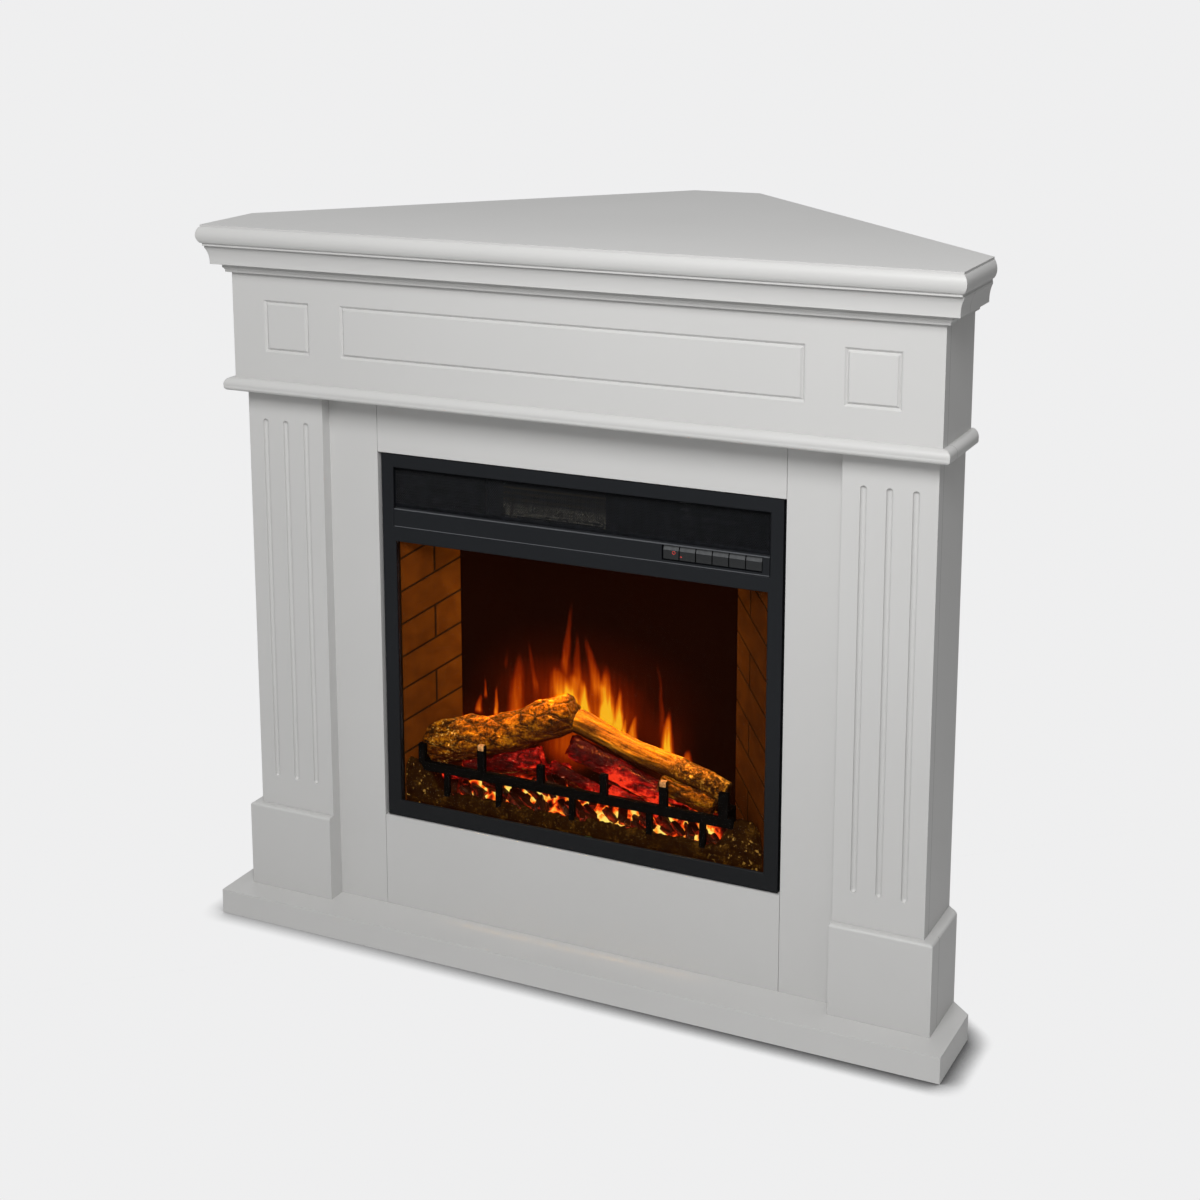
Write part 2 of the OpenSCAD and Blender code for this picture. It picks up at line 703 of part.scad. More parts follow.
module log_right() color(bark) seat() {
    bark_log([-14, 115.5, 339], [197, 115.5, 275], 15, 16.5, sides = 14, rings = 20);
    peg(20, 119, 322);
    peg(176, 119, 276);
}

// The charred lower logs, from the grate back to the screen.
module under_logs() color(bark) seat() {
    bark_log([-172, 99.5, 244], [-66, 99.5, 283], 9, 10);
    bark_log([-12, 103, 308], [104, 103, 268], 10, 11);
    bark_log([118, 103, 265], [192, 103, 244], 11, 12);
    bark_log([-50, 100, 240], [-6, 103, 262], 7, 8, sides = 8, rings = 5);
    bark_log([-150, 131, 236], [-34, 131, 262], 7, 9);
    bark_log([22, 131, 258], [150, 131, 240], 7, 9);
    for (spot = [[-160, 99.5, 244], [-76, 99.5, 274], [8, 103, 296], [94, 103, 266],
        [130, 103, 258], [182, 103, 244], [-28, 101, 250], [-140, 131, 236], [-44, 131, 255],
        [32, 131, 252], [140, 131, 240]])
        peg(spot[0], spot[1], spot[2]);
}

// ---------- electric fire: drives ----------

// Rotor whose bent reflector blades throw moving light on the screen.
module flame_rotor() color(steel) seat() translate([0, rotor_y, rotor_z]) {
    translate([-rotor_half - 14, 0, 0]) rotate([0, 90, 0]) cylinder(d = 5, h = 2 * rotor_half + 43);
    for (i = [0 : rotor_blades - 1])
        translate([-rotor_half + 12 + i * (2 * rotor_half - 24) / (rotor_blades - 1), 0, 0])
            rotate([i * 47, 0, 0]) rotate([0, 24, 0]) {
                cube([1, 15, 2 * rotor_r * 0.94], center = true);
                rotate([0, 90, 0]) cylinder(d = 9, h = 6, center = true);
            }
}

// Small synchronous motor on its floor bracket.
module rotor_motor() color([0.75, 0.72, 0.6]) seat() {
    x0 = rotor_half + 17;
    translate([x0, rotor_y, rotor_z]) rotate([0, 90, 0]) difference() {
        cylinder(d = 48, h = 20);
        translate([0, 0, -1]) cylinder(d = 5.1, h = 16);
    }
    block([x0 + 4, rotor_y - 14, fire_floor], [x0 + 16, rotor_y + 14, rotor_z - 18]);
}

// Bushes that carry the free ends of the rotor and of the blower wheel.
module shaft_bearings() color(steel) seat() {
    difference() {
        union() {
            translate([-rotor_half - 14, rotor_y, rotor_z]) rotate([0, 90, 0])
                cylinder(d = 14, h = 8);
            block([-rotor_half - 12, rotor_y - 8, fire_floor],
                [-rotor_half - 8, rotor_y + 8, rotor_z]);
        }
        translate([-rotor_half - 15, rotor_y, rotor_z]) rotate([0, 90, 0]) cylinder(d = 5.1, h = 12);
    }
    difference() {
        union() {
            translate([blower_x0 - 14, blower_y, blower_z]) rotate([0, 90, 0])
                cylinder(d = 14, h = 8);
            block([blower_x0 - 12, blower_y - 8, divider_z + sheet_t],
                [blower_x0 - 8, blower_y + 8, blower_z]);
        }
        translate([blower_x0 - 15, blower_y, blower_z]) rotate([0, 90, 0])
            cylinder(d = 5.1, h = 12);
    }
}

// Cross-flow wheel: curved blades between end discs, on a shaft.
module blower_wheel() color(steel) seat() translate([0, blower_y, blower_z]) {
    blade_r = 7;
    translate([blower_x0 - 14, 0, 0]) rotate([0, 90, 0])
        cylinder(d = 5, h = blower_x1 - blower_x0 + 48);
    for (x = [blower_x0, blower_x1 - 1.5])
        translate([x, 0, 0]) rotate([0, 90, 0]) cylinder(r = blower_r, h = 1.5);
    translate([blower_x0 + 1, 0, 0]) rotate([90, 0, 90])
        linear_extrude(blower_x1 - blower_x0 - 2)
            for (i = [0 : blower_blades - 1]) rotate([0, 0, i * 360 / blower_blades])
                translate([blower_r - blade_r - 0.5, 0]) intersection() {
                    difference() {
                        circle(r = blade_r);
                        circle(r = blade_r - 1);
                    }
                    square([blade_r, blade_r]);
                }
}

// Scroll housing round the wheel, open to the front and at the top rear.
module blower_duct() color(steel) seat() {
    gap = blower_r + 5;
    tongue = 20;
    x0 = blower_x0 - 5;
    x1 = blower_x1 + 5;
    translate([x0, blower_y, blower_z]) rotate([90, 0, 90]) linear_extrude(x1 - x0)
        difference() {
            union() {
                circle(r = gap + 1.5);
                translate([-gap - tongue, -gap - 1.5]) square([gap + tongue, 12]);
            }
            circle(r = gap);
            translate([-gap - tongue - 1, -gap]) square([gap + tongue + 1, 2 * gap]);
            rotate([0, 0, 40]) square([gap + 5, gap + 5]);
        }
    for (x = [x0 + 10, x1 - 14])
        block([x, blower_y - 6, divider_z + sheet_t], [x + 4, blower_y + 6, blower_z - gap]);
}

module blower_motor() color([0.2, 0.2, 0.22]) seat() {
    x0 = blower_x1 + 22;
    translate([x0, blower_y, blower_z]) rotate([0, 90, 0]) difference() {
        cylinder(d = 52, h = 44);
        translate([0, 0, -17]) cylinder(d = 5.1, h = 34);
    }
    block([x0 + 8, blower_y - 20, divider_z + sheet_t], [x0 + 34, blower_y + 20, blower_z - 22]);
}

// Heater: a finned ceramic block in an end frame, on two feet.
module heater_element() color([0.5, 0.48, 0.42]) seat() {
    x0 = -114;
    x1 = 46;
    z0 = vent_z + 4;
    z1 = z0 + 41;
    y0 = inner_y + 20;
    y1 = y0 + 16;
    fins = 26;
    for (z = [z0, z1 - 4]) block([x0, y0, z], [x1, y1, z + 4]);
    for (i = [0 : fins])
        translate([x0 + i * (x1 - x0 - 1.6) / fins, y0, z0]) cube([1.6, y1 - y0, z1 - z0]);
    for (x = [x0 + 6, x1 - 16])
        block([x, y0 + 4, divider_z + sheet_t], [x + 10, y0 + 10, z0]);
}

top_shelf();
crown_front();
crown_left();
crown_right();
frieze_board();
frieze_backer();
frieze_return_left();
frieze_return_right();
bead_front();
bead_left();
bead_right();
pilaster_left();
pilaster_right();
side_panel_left();
side_panel_right();
plinth_left();
plinth_right();
plinth_return_left();
plinth_return_right();
infill_panel_left();
infill_panel_right();
header_panel();
lower_panel();
base_board();
insert_shelf();
shelf_uprights();
rear_post();
wall_rails();
assembly_screws();
trim_frame();
control_fascia();
vent_mesh();
front_glass();
fire_case();
rear_cover();
cable_gland();
divider_plate();
brick_panel_left();
brick_panel_right();
flame_screen();
ember_bed();
grate();
log_left();
log_right();
under_logs();
led_board();
flame_rotor();
rotor_motor();
shaft_bearings();
blower_wheel();
blower_duct();
blower_motor();
heater_element();
control_board();
button_1();
button_2();
button_3();
button_4();
button_5();
button_6();
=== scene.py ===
"""Looks of the corner fireplace: painted boards, black iron, brick, bark and firelight."""
import json
import math
import random

import bmesh
import bpy
from mathutils import Euler, Matrix, Vector


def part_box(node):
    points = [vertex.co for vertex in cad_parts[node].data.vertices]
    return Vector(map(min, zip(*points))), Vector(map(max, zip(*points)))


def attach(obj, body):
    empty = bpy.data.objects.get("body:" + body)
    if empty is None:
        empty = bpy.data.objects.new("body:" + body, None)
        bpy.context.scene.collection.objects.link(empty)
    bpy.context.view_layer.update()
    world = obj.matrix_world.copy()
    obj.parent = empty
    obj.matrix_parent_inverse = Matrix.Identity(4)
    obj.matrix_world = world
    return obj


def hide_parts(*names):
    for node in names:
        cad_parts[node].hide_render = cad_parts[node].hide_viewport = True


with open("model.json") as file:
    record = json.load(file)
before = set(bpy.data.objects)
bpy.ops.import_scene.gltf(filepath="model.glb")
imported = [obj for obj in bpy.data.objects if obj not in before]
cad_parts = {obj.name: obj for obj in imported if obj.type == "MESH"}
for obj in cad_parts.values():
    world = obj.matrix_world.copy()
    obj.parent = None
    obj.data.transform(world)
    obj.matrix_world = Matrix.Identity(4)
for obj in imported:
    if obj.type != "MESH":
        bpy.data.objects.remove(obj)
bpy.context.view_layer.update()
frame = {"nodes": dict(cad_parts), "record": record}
MM = 0.001
ROOT_BODY = "mantel"
FRONT_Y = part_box("base_board")[0][1]


def place(x, y, z):
    """A place in millimetres: across, back from the base board's front edge, and up."""
    return Vector((x * MM, FRONT_Y + y * MM, z * MM))


# ---------- camera ----------

CAMERA_AT = (1.186, -2.697, 1.391)
CAMERA_HEADING = math.radians(28.845)
CAMERA_TILT = math.radians(77.69)
CAMERA_ROLL = math.radians(-0.885)
FRAME_PX = 1200
FOCAL_PX = 2182.5
AXIS_PX = (453, 400)
SENSOR_MM = 36


def set_camera():
    """A camera to the right of the front and above the shelf, its lens shifted sideways."""
    data = bpy.data.cameras.new("camera")
    data.sensor_width = SENSOR_MM
    data.lens = FOCAL_PX / FRAME_PX * SENSOR_MM
    data.shift_x = (FRAME_PX / 2 - AXIS_PX[0]) / FRAME_PX
    data.shift_y = (AXIS_PX[1] - FRAME_PX / 2) / FRAME_PX
    data.clip_end = 200
    camera = bpy.data.objects.new("camera", data)
    camera.matrix_world = (Matrix.Translation(CAMERA_AT)
                           @ Matrix.Rotation(CAMERA_HEADING, 4, "Z")
                           @ Matrix.Rotation(CAMERA_TILT, 4, "X")
                           @ Matrix.Rotation(CAMERA_ROLL, 4, "Z"))
    bpy.context.collection.objects.link(camera)
    bpy.context.scene.camera = camera


# ---------- shader writing ----------

class Value:
    """A shader socket that Python's arithmetic works on."""

    def __init__(self, tree, socket):
        self.tree = tree
        self.socket = socket

    def maths(self, operation, *values, clamp=False):
        """A Math node's result for some values."""
        return node(self.tree, "ShaderNodeMath",
                    {"operation": operation, "use_clamp": clamp}, values)

    def __add__(self, other):
        return self.maths("ADD", self, other)

    def __sub__(self, other):
        return self.maths("SUBTRACT", self, other)

    def __rsub__(self, other):
        return self.maths("SUBTRACT", other, self)

    def __mul__(self, other):
        return self.maths("MULTIPLY", self, other)

    def __truediv__(self, other):
        return self.maths("DIVIDE", self, other)

    def __pow__(self, other):
        return self.maths("POWER", self, other)

    def __abs__(self):
        return self.maths("ABSOLUTE", self)

    __radd__ = __add__
    __rmul__ = __mul__

    def clamped(self):
        """Kept between 0 and 1."""
        return self.maths("ADD", self, 0, clamp=True)

    def step(self, low, high):
        """0 below low, 1 above high, and smooth between them."""
        return node(self.tree, "ShaderNodeMapRange", {"interpolation_type": "SMOOTHSTEP"},
                    {"Value": self, "From Min": low, "From Max": high})

    def ramp(self, *stops):
        """A colour that runs through (place, (r, g, b)) stops."""
        return node(self.tree, "ShaderNodeValToRGB", {"stops": stops}, [self])


def node(tree, kind, settings=None, inputs=(), output=0):
    """Adds a node, makes its settings first, then feeds its sockets, and returns an output."""
    made = tree.nodes.new(kind)
    for name, setting in (settings or {}).items():
        if name == "stops":
            ramp = made.color_ramp
            while len(ramp.elements) < len(setting):
                ramp.elements.new(1)
            for element, (place_on_ramp, colour) in zip(ramp.elements, setting):
                element.position = place_on_ramp
                element.color = (*colour, 1)
        else:
            setattr(made, name, setting)
    pairs = inputs.items() if isinstance(inputs, dict) else enumerate(inputs)
    for socket_name, value in pairs:
        feed(tree, made.inputs[socket_name], value)
    return Value(tree, made.outputs[output])


def feed(tree, socket, value):
    """Links a value to a socket, or sets a plain number or colour on it."""
    if isinstance(value, Value):
        tree.links.new(value.socket, socket)
    elif socket.type == "RGBA" and len(value) == 3:
        socket.default_value = (*value, 1)
    else:
        socket.default_value = value


def parts(tree, vector):
    """The three numbers of a vector."""
    split = tree.nodes.new("ShaderNodeSeparateXYZ")
    feed(tree, split.inputs[0], vector)
    return [Value(tree, socket) for socket in split.outputs]


def mixed(tree, factor, first, second):
    """A Mix node for two colours."""
    return node(tree, "ShaderNodeMix", {"data_type": "RGBA"},
                {0: factor, 6: first, 7: second}, 2)


class Finish:
    """A material that ends in one Principled shader."""

    def __init__(self, name):
        self.material = bpy.data.materials.new(name)
        self.material.use_nodes = True
        self.tree = self.material.node_tree
        self.shader = self.tree.nodes["Principled BSDF"]
        self.place = node(self.tree, "ShaderNodeTexCoord", output="Object")

    def axes(self, vector=None):
        """The three numbers of a vector, or of the place on the piece."""
        return parts(self.tree, vector or self.place)

    def facing(self):
        """The surface normal's three parts."""
        return self.axes(node(self.tree, "ShaderNodeNewGeometry", output="Normal"))

    def scaled(self, x, y, z, vector=None):
        """The place, stretched along each axis, so that a pattern runs one way."""
        return node(self.tree, "ShaderNodeVectorMath", {"operation": "MULTIPLY"},
                    [vector or self.place, (x, y, z)])

    def warped(self, scale, amount):
        """The place, pushed about by noise, so that patterns wander."""
        swirl = self.noise(scale, 2, output=1)
        return node(self.tree, "ShaderNodeVectorMath", {"operation": "MULTIPLY_ADD"},
                    [swirl, (amount,) * 3, self.place])

    def noise(self, scale, detail=2, roughness=0.5, place=None, output=0):
        """Cloudy noise from 0 to 1, or its colour as output 1."""
        return node(self.tree, "ShaderNodeTexNoise", {},
                    {"Vector": place or self.place, "Scale": scale, "Detail": detail,
                     "Roughness": roughness}, output)

    def cells(self, scale, feature="F1", place=None, output="Distance"):
        """A pattern of cells, such as flakes, plates or cracks."""
        return node(self.tree, "ShaderNodeTexVoronoi", {"feature": feature},
                    {"Vector": place or self.place, "Scale": scale}, output)

    def mix(self, factor, first, second):
        """The first colour where the factor is 0, and the second where it is 1."""
        return mixed(self.tree, factor, first, second)

    def bump(self, height, distance, strength=1.0, over=None):
        """Normals tilted by a height pattern, over other normals if there are any."""
        sockets = {"Height": height, "Distance": distance, "Strength": strength}
        if over is not None:
            sockets["Normal"] = over
        return node(self.tree, "ShaderNodeBump", {}, sockets)

    def eased_edges(self, radius):
        """Surface normals that round off sharp edges."""
        return node(self.tree, "ShaderNodeBevel", {"samples": 6}, {"Radius": radius})

    def done(self, **sockets):
        """Feeds the Principled shader; Base_Color stands for its Base Color socket."""
        for name, value in sockets.items():
            feed(self.tree, self.shader.inputs[name.replace("_", " ")], value)
        return self.material


# ---------- finishes ----------

BLACK = (0.0, 0.0, 0.0)
# Amber: the fire lamp's colour, and the Specular Tint of the ember bed, bark and split wood,
# which colours their reflections as though firelit: a painted reflection colour.
AMBER = (1.0, 0.55, 0.16)
RIGHT_LOG_TILT = -math.atan2(65, 213)
# A side liner's inner face in millimetres: half the gap at its front edge, that edge's
# place, and how far the face leans in for each millimetre back.
LINER_FRONT_X = 265.5
LINER_Y = 81.5
LINER_LEAN = 67.5 / 62.5

PAINT = (0.60, 0.597, 0.588)
# The hairline joints run down beside these boards' rear faces.
JOINT_BOARDS = ("plinth_right", "pilaster_right", "frieze_board")
# The fascia's long edges, which get painted highlight lines: height in millimetres and how
# bright.
FASCIA_HIGHLIGHTS = [(590.7, 0.9), (615.2, 0.7)]
FASCIA_HALF = 0.27
ENAMEL = (0.0074, 0.0086, 0.0106)


def board_paint():
    """Satin paint on fibreboard: faint roller texture, eased edges and hairline joints."""
    f = Finish("board_paint")
    x, y, z = f.axes()
    cloud = f.noise(2.2, 3)
    roller = f.noise(620, 2, place=f.scaled(1, 1, 0.6))
    tint = f.mix(cloud.step(0.3, 0.7), PAINT, tuple(c * 0.965 for c in PAINT))
    joint = 0
    for board in JOINT_BOARDS:
        low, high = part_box(board)
        beside = abs(x).step(high[0] - 3 * MM, high[0] - 2 * MM)
        within = z.step(low[2], low[2] + MM) * (1 - z.step(high[2] - MM, high[2]))
        joint = joint + beside * within * (1 - abs(y - high[1]).step(0.3 * MM, 1.1 * MM))
    tint = f.mix(0.45 * joint, tint, (0.12, 0.118, 0.112))
    edges = f.eased_edges(0.9 * MM)
    return f.done(Base_Color=tint, Roughness=0.30 + 0.10 * cloud,
                  Normal=f.bump(roller, 0.03 * MM, 0.5, edges))


def frame_enamel():
    """Satin black powder coat, with painted highlight lines along the fascia's long edges."""
    f = Finish("frame_enamel")
    x, _, z = f.axes()
    grain = f.noise(1500, 2)
    cloud = f.noise(9, 2)
    tint = f.mix(cloud, ENAMEL, tuple(c * 1.25 for c in ENAMEL))
    # Painted shade: darker towards the bottom.
    tint = f.mix(1 - z.step(0.19, 0.45), tint, tuple(c * 0.62 for c in ENAMEL))
    # Painted highlights: thin lighter lines along the fascia's long edges.
    edge = 0
    for height, share in FASCIA_HIGHLIGHTS:
        edge = edge + share * (1 - abs(z / MM - height).step(0.4, 1.0))
    edge = edge * (1 - abs(x).step(FASCIA_HALF - 0.5 * MM, FASCIA_HALF)) * (0.6 + 0.6 * cloud)
    tint = f.mix(edge.clamped(), tint, (0.13, 0.135, 0.145))
    return f.done(Base_Color=tint, Roughness=0.40 + 0.08 * grain, Specular_IOR_Level=0.24,
                  Normal=f.bump(grain, 0.02 * MM, 0.6, f.eased_edges(0.5 * MM)))


def screen_wire(name="screen_wire", tone=1.0):
    """Dull black wire."""
    f = Finish(name)
    wear_and_glow = f.noise(160, 3)
    tint = wear_and_glow.ramp((0.35, (0.0025 * tone, 0.003 * tone, 0.004 * tone)),
                     (0.75, (0.010 * tone, 0.011 * tone, 0.014 * tone)))
    return f.done(Base_Color=tint, Roughness=0.55, Specular_IOR_Level=0.15 * tone)


def clear_glass():
    """Clear glass with a faint smoky tint."""
    f = Finish("clear_glass")
    smear = f.noise(14, 3, place=f.scaled(1, 1, 0.3))
    return f.done(Base_Color=(0.012, 0.006, 0.002), Roughness=0.03 + 0.05 * smear,
                  Alpha=0.04, Specular_IOR_Level=0.10)


def sheet_steel(name="sheet_steel", tone=0.42):
    """Zinc-coated sheet with its crystal pattern."""
    f = Finish(name)
    flake = f.cells(95, output="Color")
    bright = f.axes(flake)[0]
    tint = bright.ramp((0, (tone * 0.8,) * 3), (1, (tone, tone * 1.01, tone * 1.03)))
    return f.done(Base_Color=tint, Metallic=0.9, Roughness=0.34 + 0.16 * bright)


def zinc_screw():
    """Bright plated steel."""
    f = Finish("zinc_screw")
    wear_and_glow = f.noise(800, 2)
    return f.done(Base_Color=wear_and_glow.ramp((0.3, (0.5, 0.5, 0.47)), (0.7, (0.62, 0.62, 0.6))),
                  Metallic=1.0, Roughness=0.3)


def black_rubber():
    """Moulded rubber."""
    f = Finish("black_rubber")
    grain = f.noise(900, 3)
    return f.done(Base_Color=grain.ramp((0.3, (0.012,) * 3), (0.7, (0.025,) * 3)),
                  Roughness=0.75, Normal=f.bump(grain, 0.05 * MM))


def liner_brick():
    """Moulded brick liner with a painted amber firelight glow, which fades out towards the fire
    bed.
    """
    f = Finish("liner_brick")
    x, y, z = f.axes()
    grain = f.noise(38, 4, 0.6)
    speck = f.noise(420, 3, 0.6)
    brick = f.mix(grain.step(0.3, 0.7), (0.095, 0.020, 0.0008), (0.145, 0.032, 0.0013))
    # Painted shade: the right-hand liner is darker.
    brick = f.mix(x.step(0.0, 0.1) * 0.35, brick, BLACK)
    sunk = abs(x) / MM + LINER_LEAN * ((y - FRONT_Y) / MM - LINER_Y) - LINER_FRONT_X
    brick = f.mix(sunk.step(0.2, 0.9) * 0.85, brick, (0.014, 0.006, 0.001))
    # Painted highlight: faces turned to the front, along the liners' front edges, are a brighter
    # orange, which also glows.
    front = (0 - f.facing()[1]).step(0.85, 0.97)
    brick = f.mix(front, brick, (0.30, 0.085, 0.006))
    # Painted firelight: the glow is stronger towards the middle and fades out low down, towards
    # the fire bed.
    inward = 1 - abs(x).step(0.19, 0.24)
    glow = (0.14 + 0.50 * inward) * z.step(0.17, 0.46)
    return f.done(Base_Color=brick, Roughness=0.8, Specular_IOR_Level=0.05,
                  Emission_Color=f.mix(glow, BLACK, brick), Emission_Strength=1.0,
                  Normal=f.bump(grain + 0.3 * speck, 0.5 * MM))


# Flame tongues in millimetres: across and up at the root, the same at the tip, the half
# width and the heat.
TONGUES = [
    (-211, 302, -216, 320, 9, 0.68), (-181, 318, -178, 344, 7, 0.52),
    (-171, 342, -171, 369, 3.5, 0.42), (-153, 318, -151, 360, 6, 0.66),
    (-122, 318, -116, 418, 18, 0.38), (-93, 370, -104, 442, 6, 0.18),
    (-137, 392, -134, 424, 4, 0.09), (-46, 408, -36, 504, 8, 0.32),
    (-29, 385, -28, 462, 9, 0.28), (3, 380, -16, 456, 13, 0.36),
    (-50, 356, -60, 404, 24, 0.46), (-40, 352, -36, 398, 18, 0.42),
    (-17, 335, -22, 390, 13, 0.80), (14, 328, 17, 418, 17, 0.74),
    (33, 325, 36, 388, 10, 0.66), (43, 322, 44, 344, 5, 0.45),
    (55, 316, 60, 352, 9, 0.60), (98, 340, 90, 441, 5, 0.18),
    (105, 291, 107, 368, 13, 0.98), (132, 285, 137, 316, 13, 0.74),
]
# Soft firelight behind the tongues: place, half width, half height and heat.
GLOWS = [(-15, 365, 115, 66, 0.16), (-12, 352, 60, 40, 0.20), (20, 328, 40, 28, 0.18),
         (-85, 345, 80, 50, 0.10), (105, 300, 32, 48, 0.13), (-42, 284, 34, 26, 0.42),
         (-185, 300, 50, 30, 0.10)]


def flame_light():
    """The dark screen with the flame picture on it."""
    f = Finish("flame_light")
    x, _, z = f.axes()
    drift = f.noise(1, 2, place=f.scaled(14, 0, 8)) - 0.5
    curl = f.noise(1, 2, place=f.scaled(46, 0, 22)) - 0.5
    across = x / MM + 16 * drift + 8 * curl
    up = z / MM
    streak = f.noise(1, 3, place=f.scaled(210, 0, 16))
    glow_level = 0.02 * f.noise(6, 1)
    for root_x, root_z, tip_x, tip_z, half, bright in TONGUES:
        rise = (up - root_z) / (tip_z - root_z)
        along = rise.clamped()
        centre = root_x + (tip_x - root_x) * along
        width = half * (1.05 - along) ** 0.6
        inside = (1 - abs(across - centre) / width).clamped().step(0.0, 0.8)
        lit = rise.step(-0.3, 0.05) * (1 - 0.76 * along) * (1 - rise.step(0.72, 1.0))
        glow_level = glow_level + inside * (bright * lit)
    for at, height, half, tall, bright in GLOWS:
        far = ((across - at) / half) ** 2 + ((up - height) / tall) ** 2
        glow_level = glow_level + bright * (1 - far / 3).clamped() ** 2
    glow_level = glow_level * (0.60 + 0.76 * streak)
    colour = glow_level.ramp((0.0, (0.0052, 0.0010, 0.0003)), (0.10, (0.024, 0.0026, 0.0004)),
                       (0.22, (0.105, 0.007, 0.0004)), (0.34, (0.22, 0.016, 0.0006)),
                       (0.48, (0.42, 0.048, 0.001)), (0.60, (0.62, 0.095, 0.0025)),
                       (0.74, (0.86, 0.20, 0.004)), (0.92, (1.0, 0.48, 0.014)))
    return f.done(Base_Color=(0.002, 0.0005, 0.0003), Roughness=1.0, Specular_IOR_Level=0.0,
                  Emission_Color=colour, Emission_Strength=1.0)


def charred_wood():
    """Charred wood with red light inside it, glossy and cracked."""
    f = Finish("charred_wood")
    wander = f.warped(34, 0.03)
    plate = f.cells(66, "DISTANCE_TO_EDGE", place=f.scaled(0.4, 1, 1, wander))
    lump = f.noise(38, 6, 0.72)
    patch = f.noise(23, 5, 0.62, place=f.scaled(0.6, 1, 1))
    fine = f.noise(230, 3, 0.7, place=f.scaled(0.4, 1, 1))
    down = f.facing()[2]
    low = (0.45 - 0.6 * down).clamped()
    glow_level = patch.step(0.44, 0.62) * (0.4 + low) * (0.3 + 0.7 * lump.step(0.35, 0.6))
    glow_level = glow_level + 0.28 * patch.step(0.3, 0.5) * fine.step(0.4, 0.7)
    colour = glow_level.ramp((0, (0.022, 0.0003, 0.0003)), (0.20, (0.110, 0.0012, 0.0008)),
                       (0.50, (0.44, 0.007, 0.004)), (0.80, (0.95, 0.040, 0.012)))
    crack = (1 - plate.step(0.0, 0.09)) * lump.step(0.58, 0.46)
    colour = f.mix(crack * 0.9, colour, (0.003, 0.0002, 0.0001))
    # Painted glints: pinkish-white specks in the glow colour.
    glint = fine.step(0.66, 0.71) * lump.step(0.45, 0.58)
    colour = f.mix(glint * 0.8, colour, (0.85, 0.26, 0.14))
    char = lump.ramp((0.3, (0.003, 0.0002, 0.0001)), (0.7, (0.016, 0.0012, 0.0006)))
    # The Specular Tint reddens reflections as though firelit: a painted reflection colour.
    return f.done(Base_Color=char, Roughness=0.13 + 0.16 * lump, Specular_IOR_Level=0.30,
                  Specular_Tint=(1.0, 0.28, 0.18), Emission_Color=colour, Emission_Strength=1.0,
                  Normal=f.bump(0.7 * plate.step(0, 0.25) + 2.0 * lump, 2.4 * MM))


def ember_glow():
    """The ember bed: olive ash in front, and fire in the gaps behind it."""
    f = Finish("ember_glow")
    x, y, _ = f.axes()
    back = (y - FRONT_Y) / MM
    lump = f.noise(55, 4, 0.65)
    grit = f.noise(300, 3, 0.7)
    wander = f.warped(36, 0.014)
    gap = f.cells(52, place=f.scaled(1.5, 1, 0.6, wander))
    hollow = back.step(89, 95) * (1 - back.step(122, 140))
    hollow = hollow * (1 - abs(x - 0.004).step(0.175, 0.205))
    glow_level = hollow * gap.step(0.16, 0.66) * lump.step(0.28, 0.55)
    colour = glow_level.ramp((0, (0.006, 0.0006, 0.0002)), (0.2, (0.20, 0.006, 0.002)),
                       (0.42, (0.95, 0.06, 0.006)), (0.70, (1.0, 0.34, 0.025)),
                       (0.95, (1.0, 0.72, 0.14)))
    mound = abs(x + 0.009).step(0.19, 0.235)
    # Painted glints: bright gold specks in the ash's colour, most of them on the mounds.
    painted_glint = f.cells(330, place=wander, output="Color")
    painted_glint = f.axes(painted_glint)[0].step(0.90, 0.97) * (0.12 + 0.8 * mound) * grit.step(0.42, 0.6)
    ash = (lump + 0.5 * grit).ramp((0.56, (0.002, 0.0008, 0.0002)),
                                   (0.80, (0.015, 0.0065, 0.0006)), (1.0, (0.10, 0.043, 0.004)))
    ash = f.mix(painted_glint, ash, (0.60, 0.32, 0.06))
    return f.done(Base_Color=ash, Roughness=0.6, Specular_IOR_Level=0.10,
                  Specular_Tint=AMBER, Emission_Color=colour, Emission_Strength=1.15,
                  Normal=f.bump(lump + 0.5 * grit, 2.0 * MM))


def burnt_chip():
    """Dark chips that lie in the embers, with red painted light on their undersides, as if lit by
    the embers below.
    """
    f = Finish("burnt_chip")
    grain = f.noise(110, 4, 0.65)
    # Painted light: undersides glow red, and the Specular Tint below reddens reflections as
    # though firelit.
    down = f.facing()[2]
    low = (0.40 - 0.8 * down).clamped()
    glow_level = low * grain.step(0.38, 0.68)
    colour = glow_level.ramp((0, (0.006, 0.0004, 0.0001)), (0.3, (0.14, 0.004, 0.001)),
                       (1, (0.9, 0.05, 0.006)))
    crust = grain.ramp((0.3, (0.004, 0.0015, 0.001)), (0.7, (0.030, 0.010, 0.004)))
    return f.done(Base_Color=crust,
                  Roughness=0.4, Specular_IOR_Level=0.25, Specular_Tint=(1.0, 0.45, 0.25),
                  Emission_Color=colour, Emission_Strength=1.0,
                  Normal=f.bump(grain, 1.2 * MM))


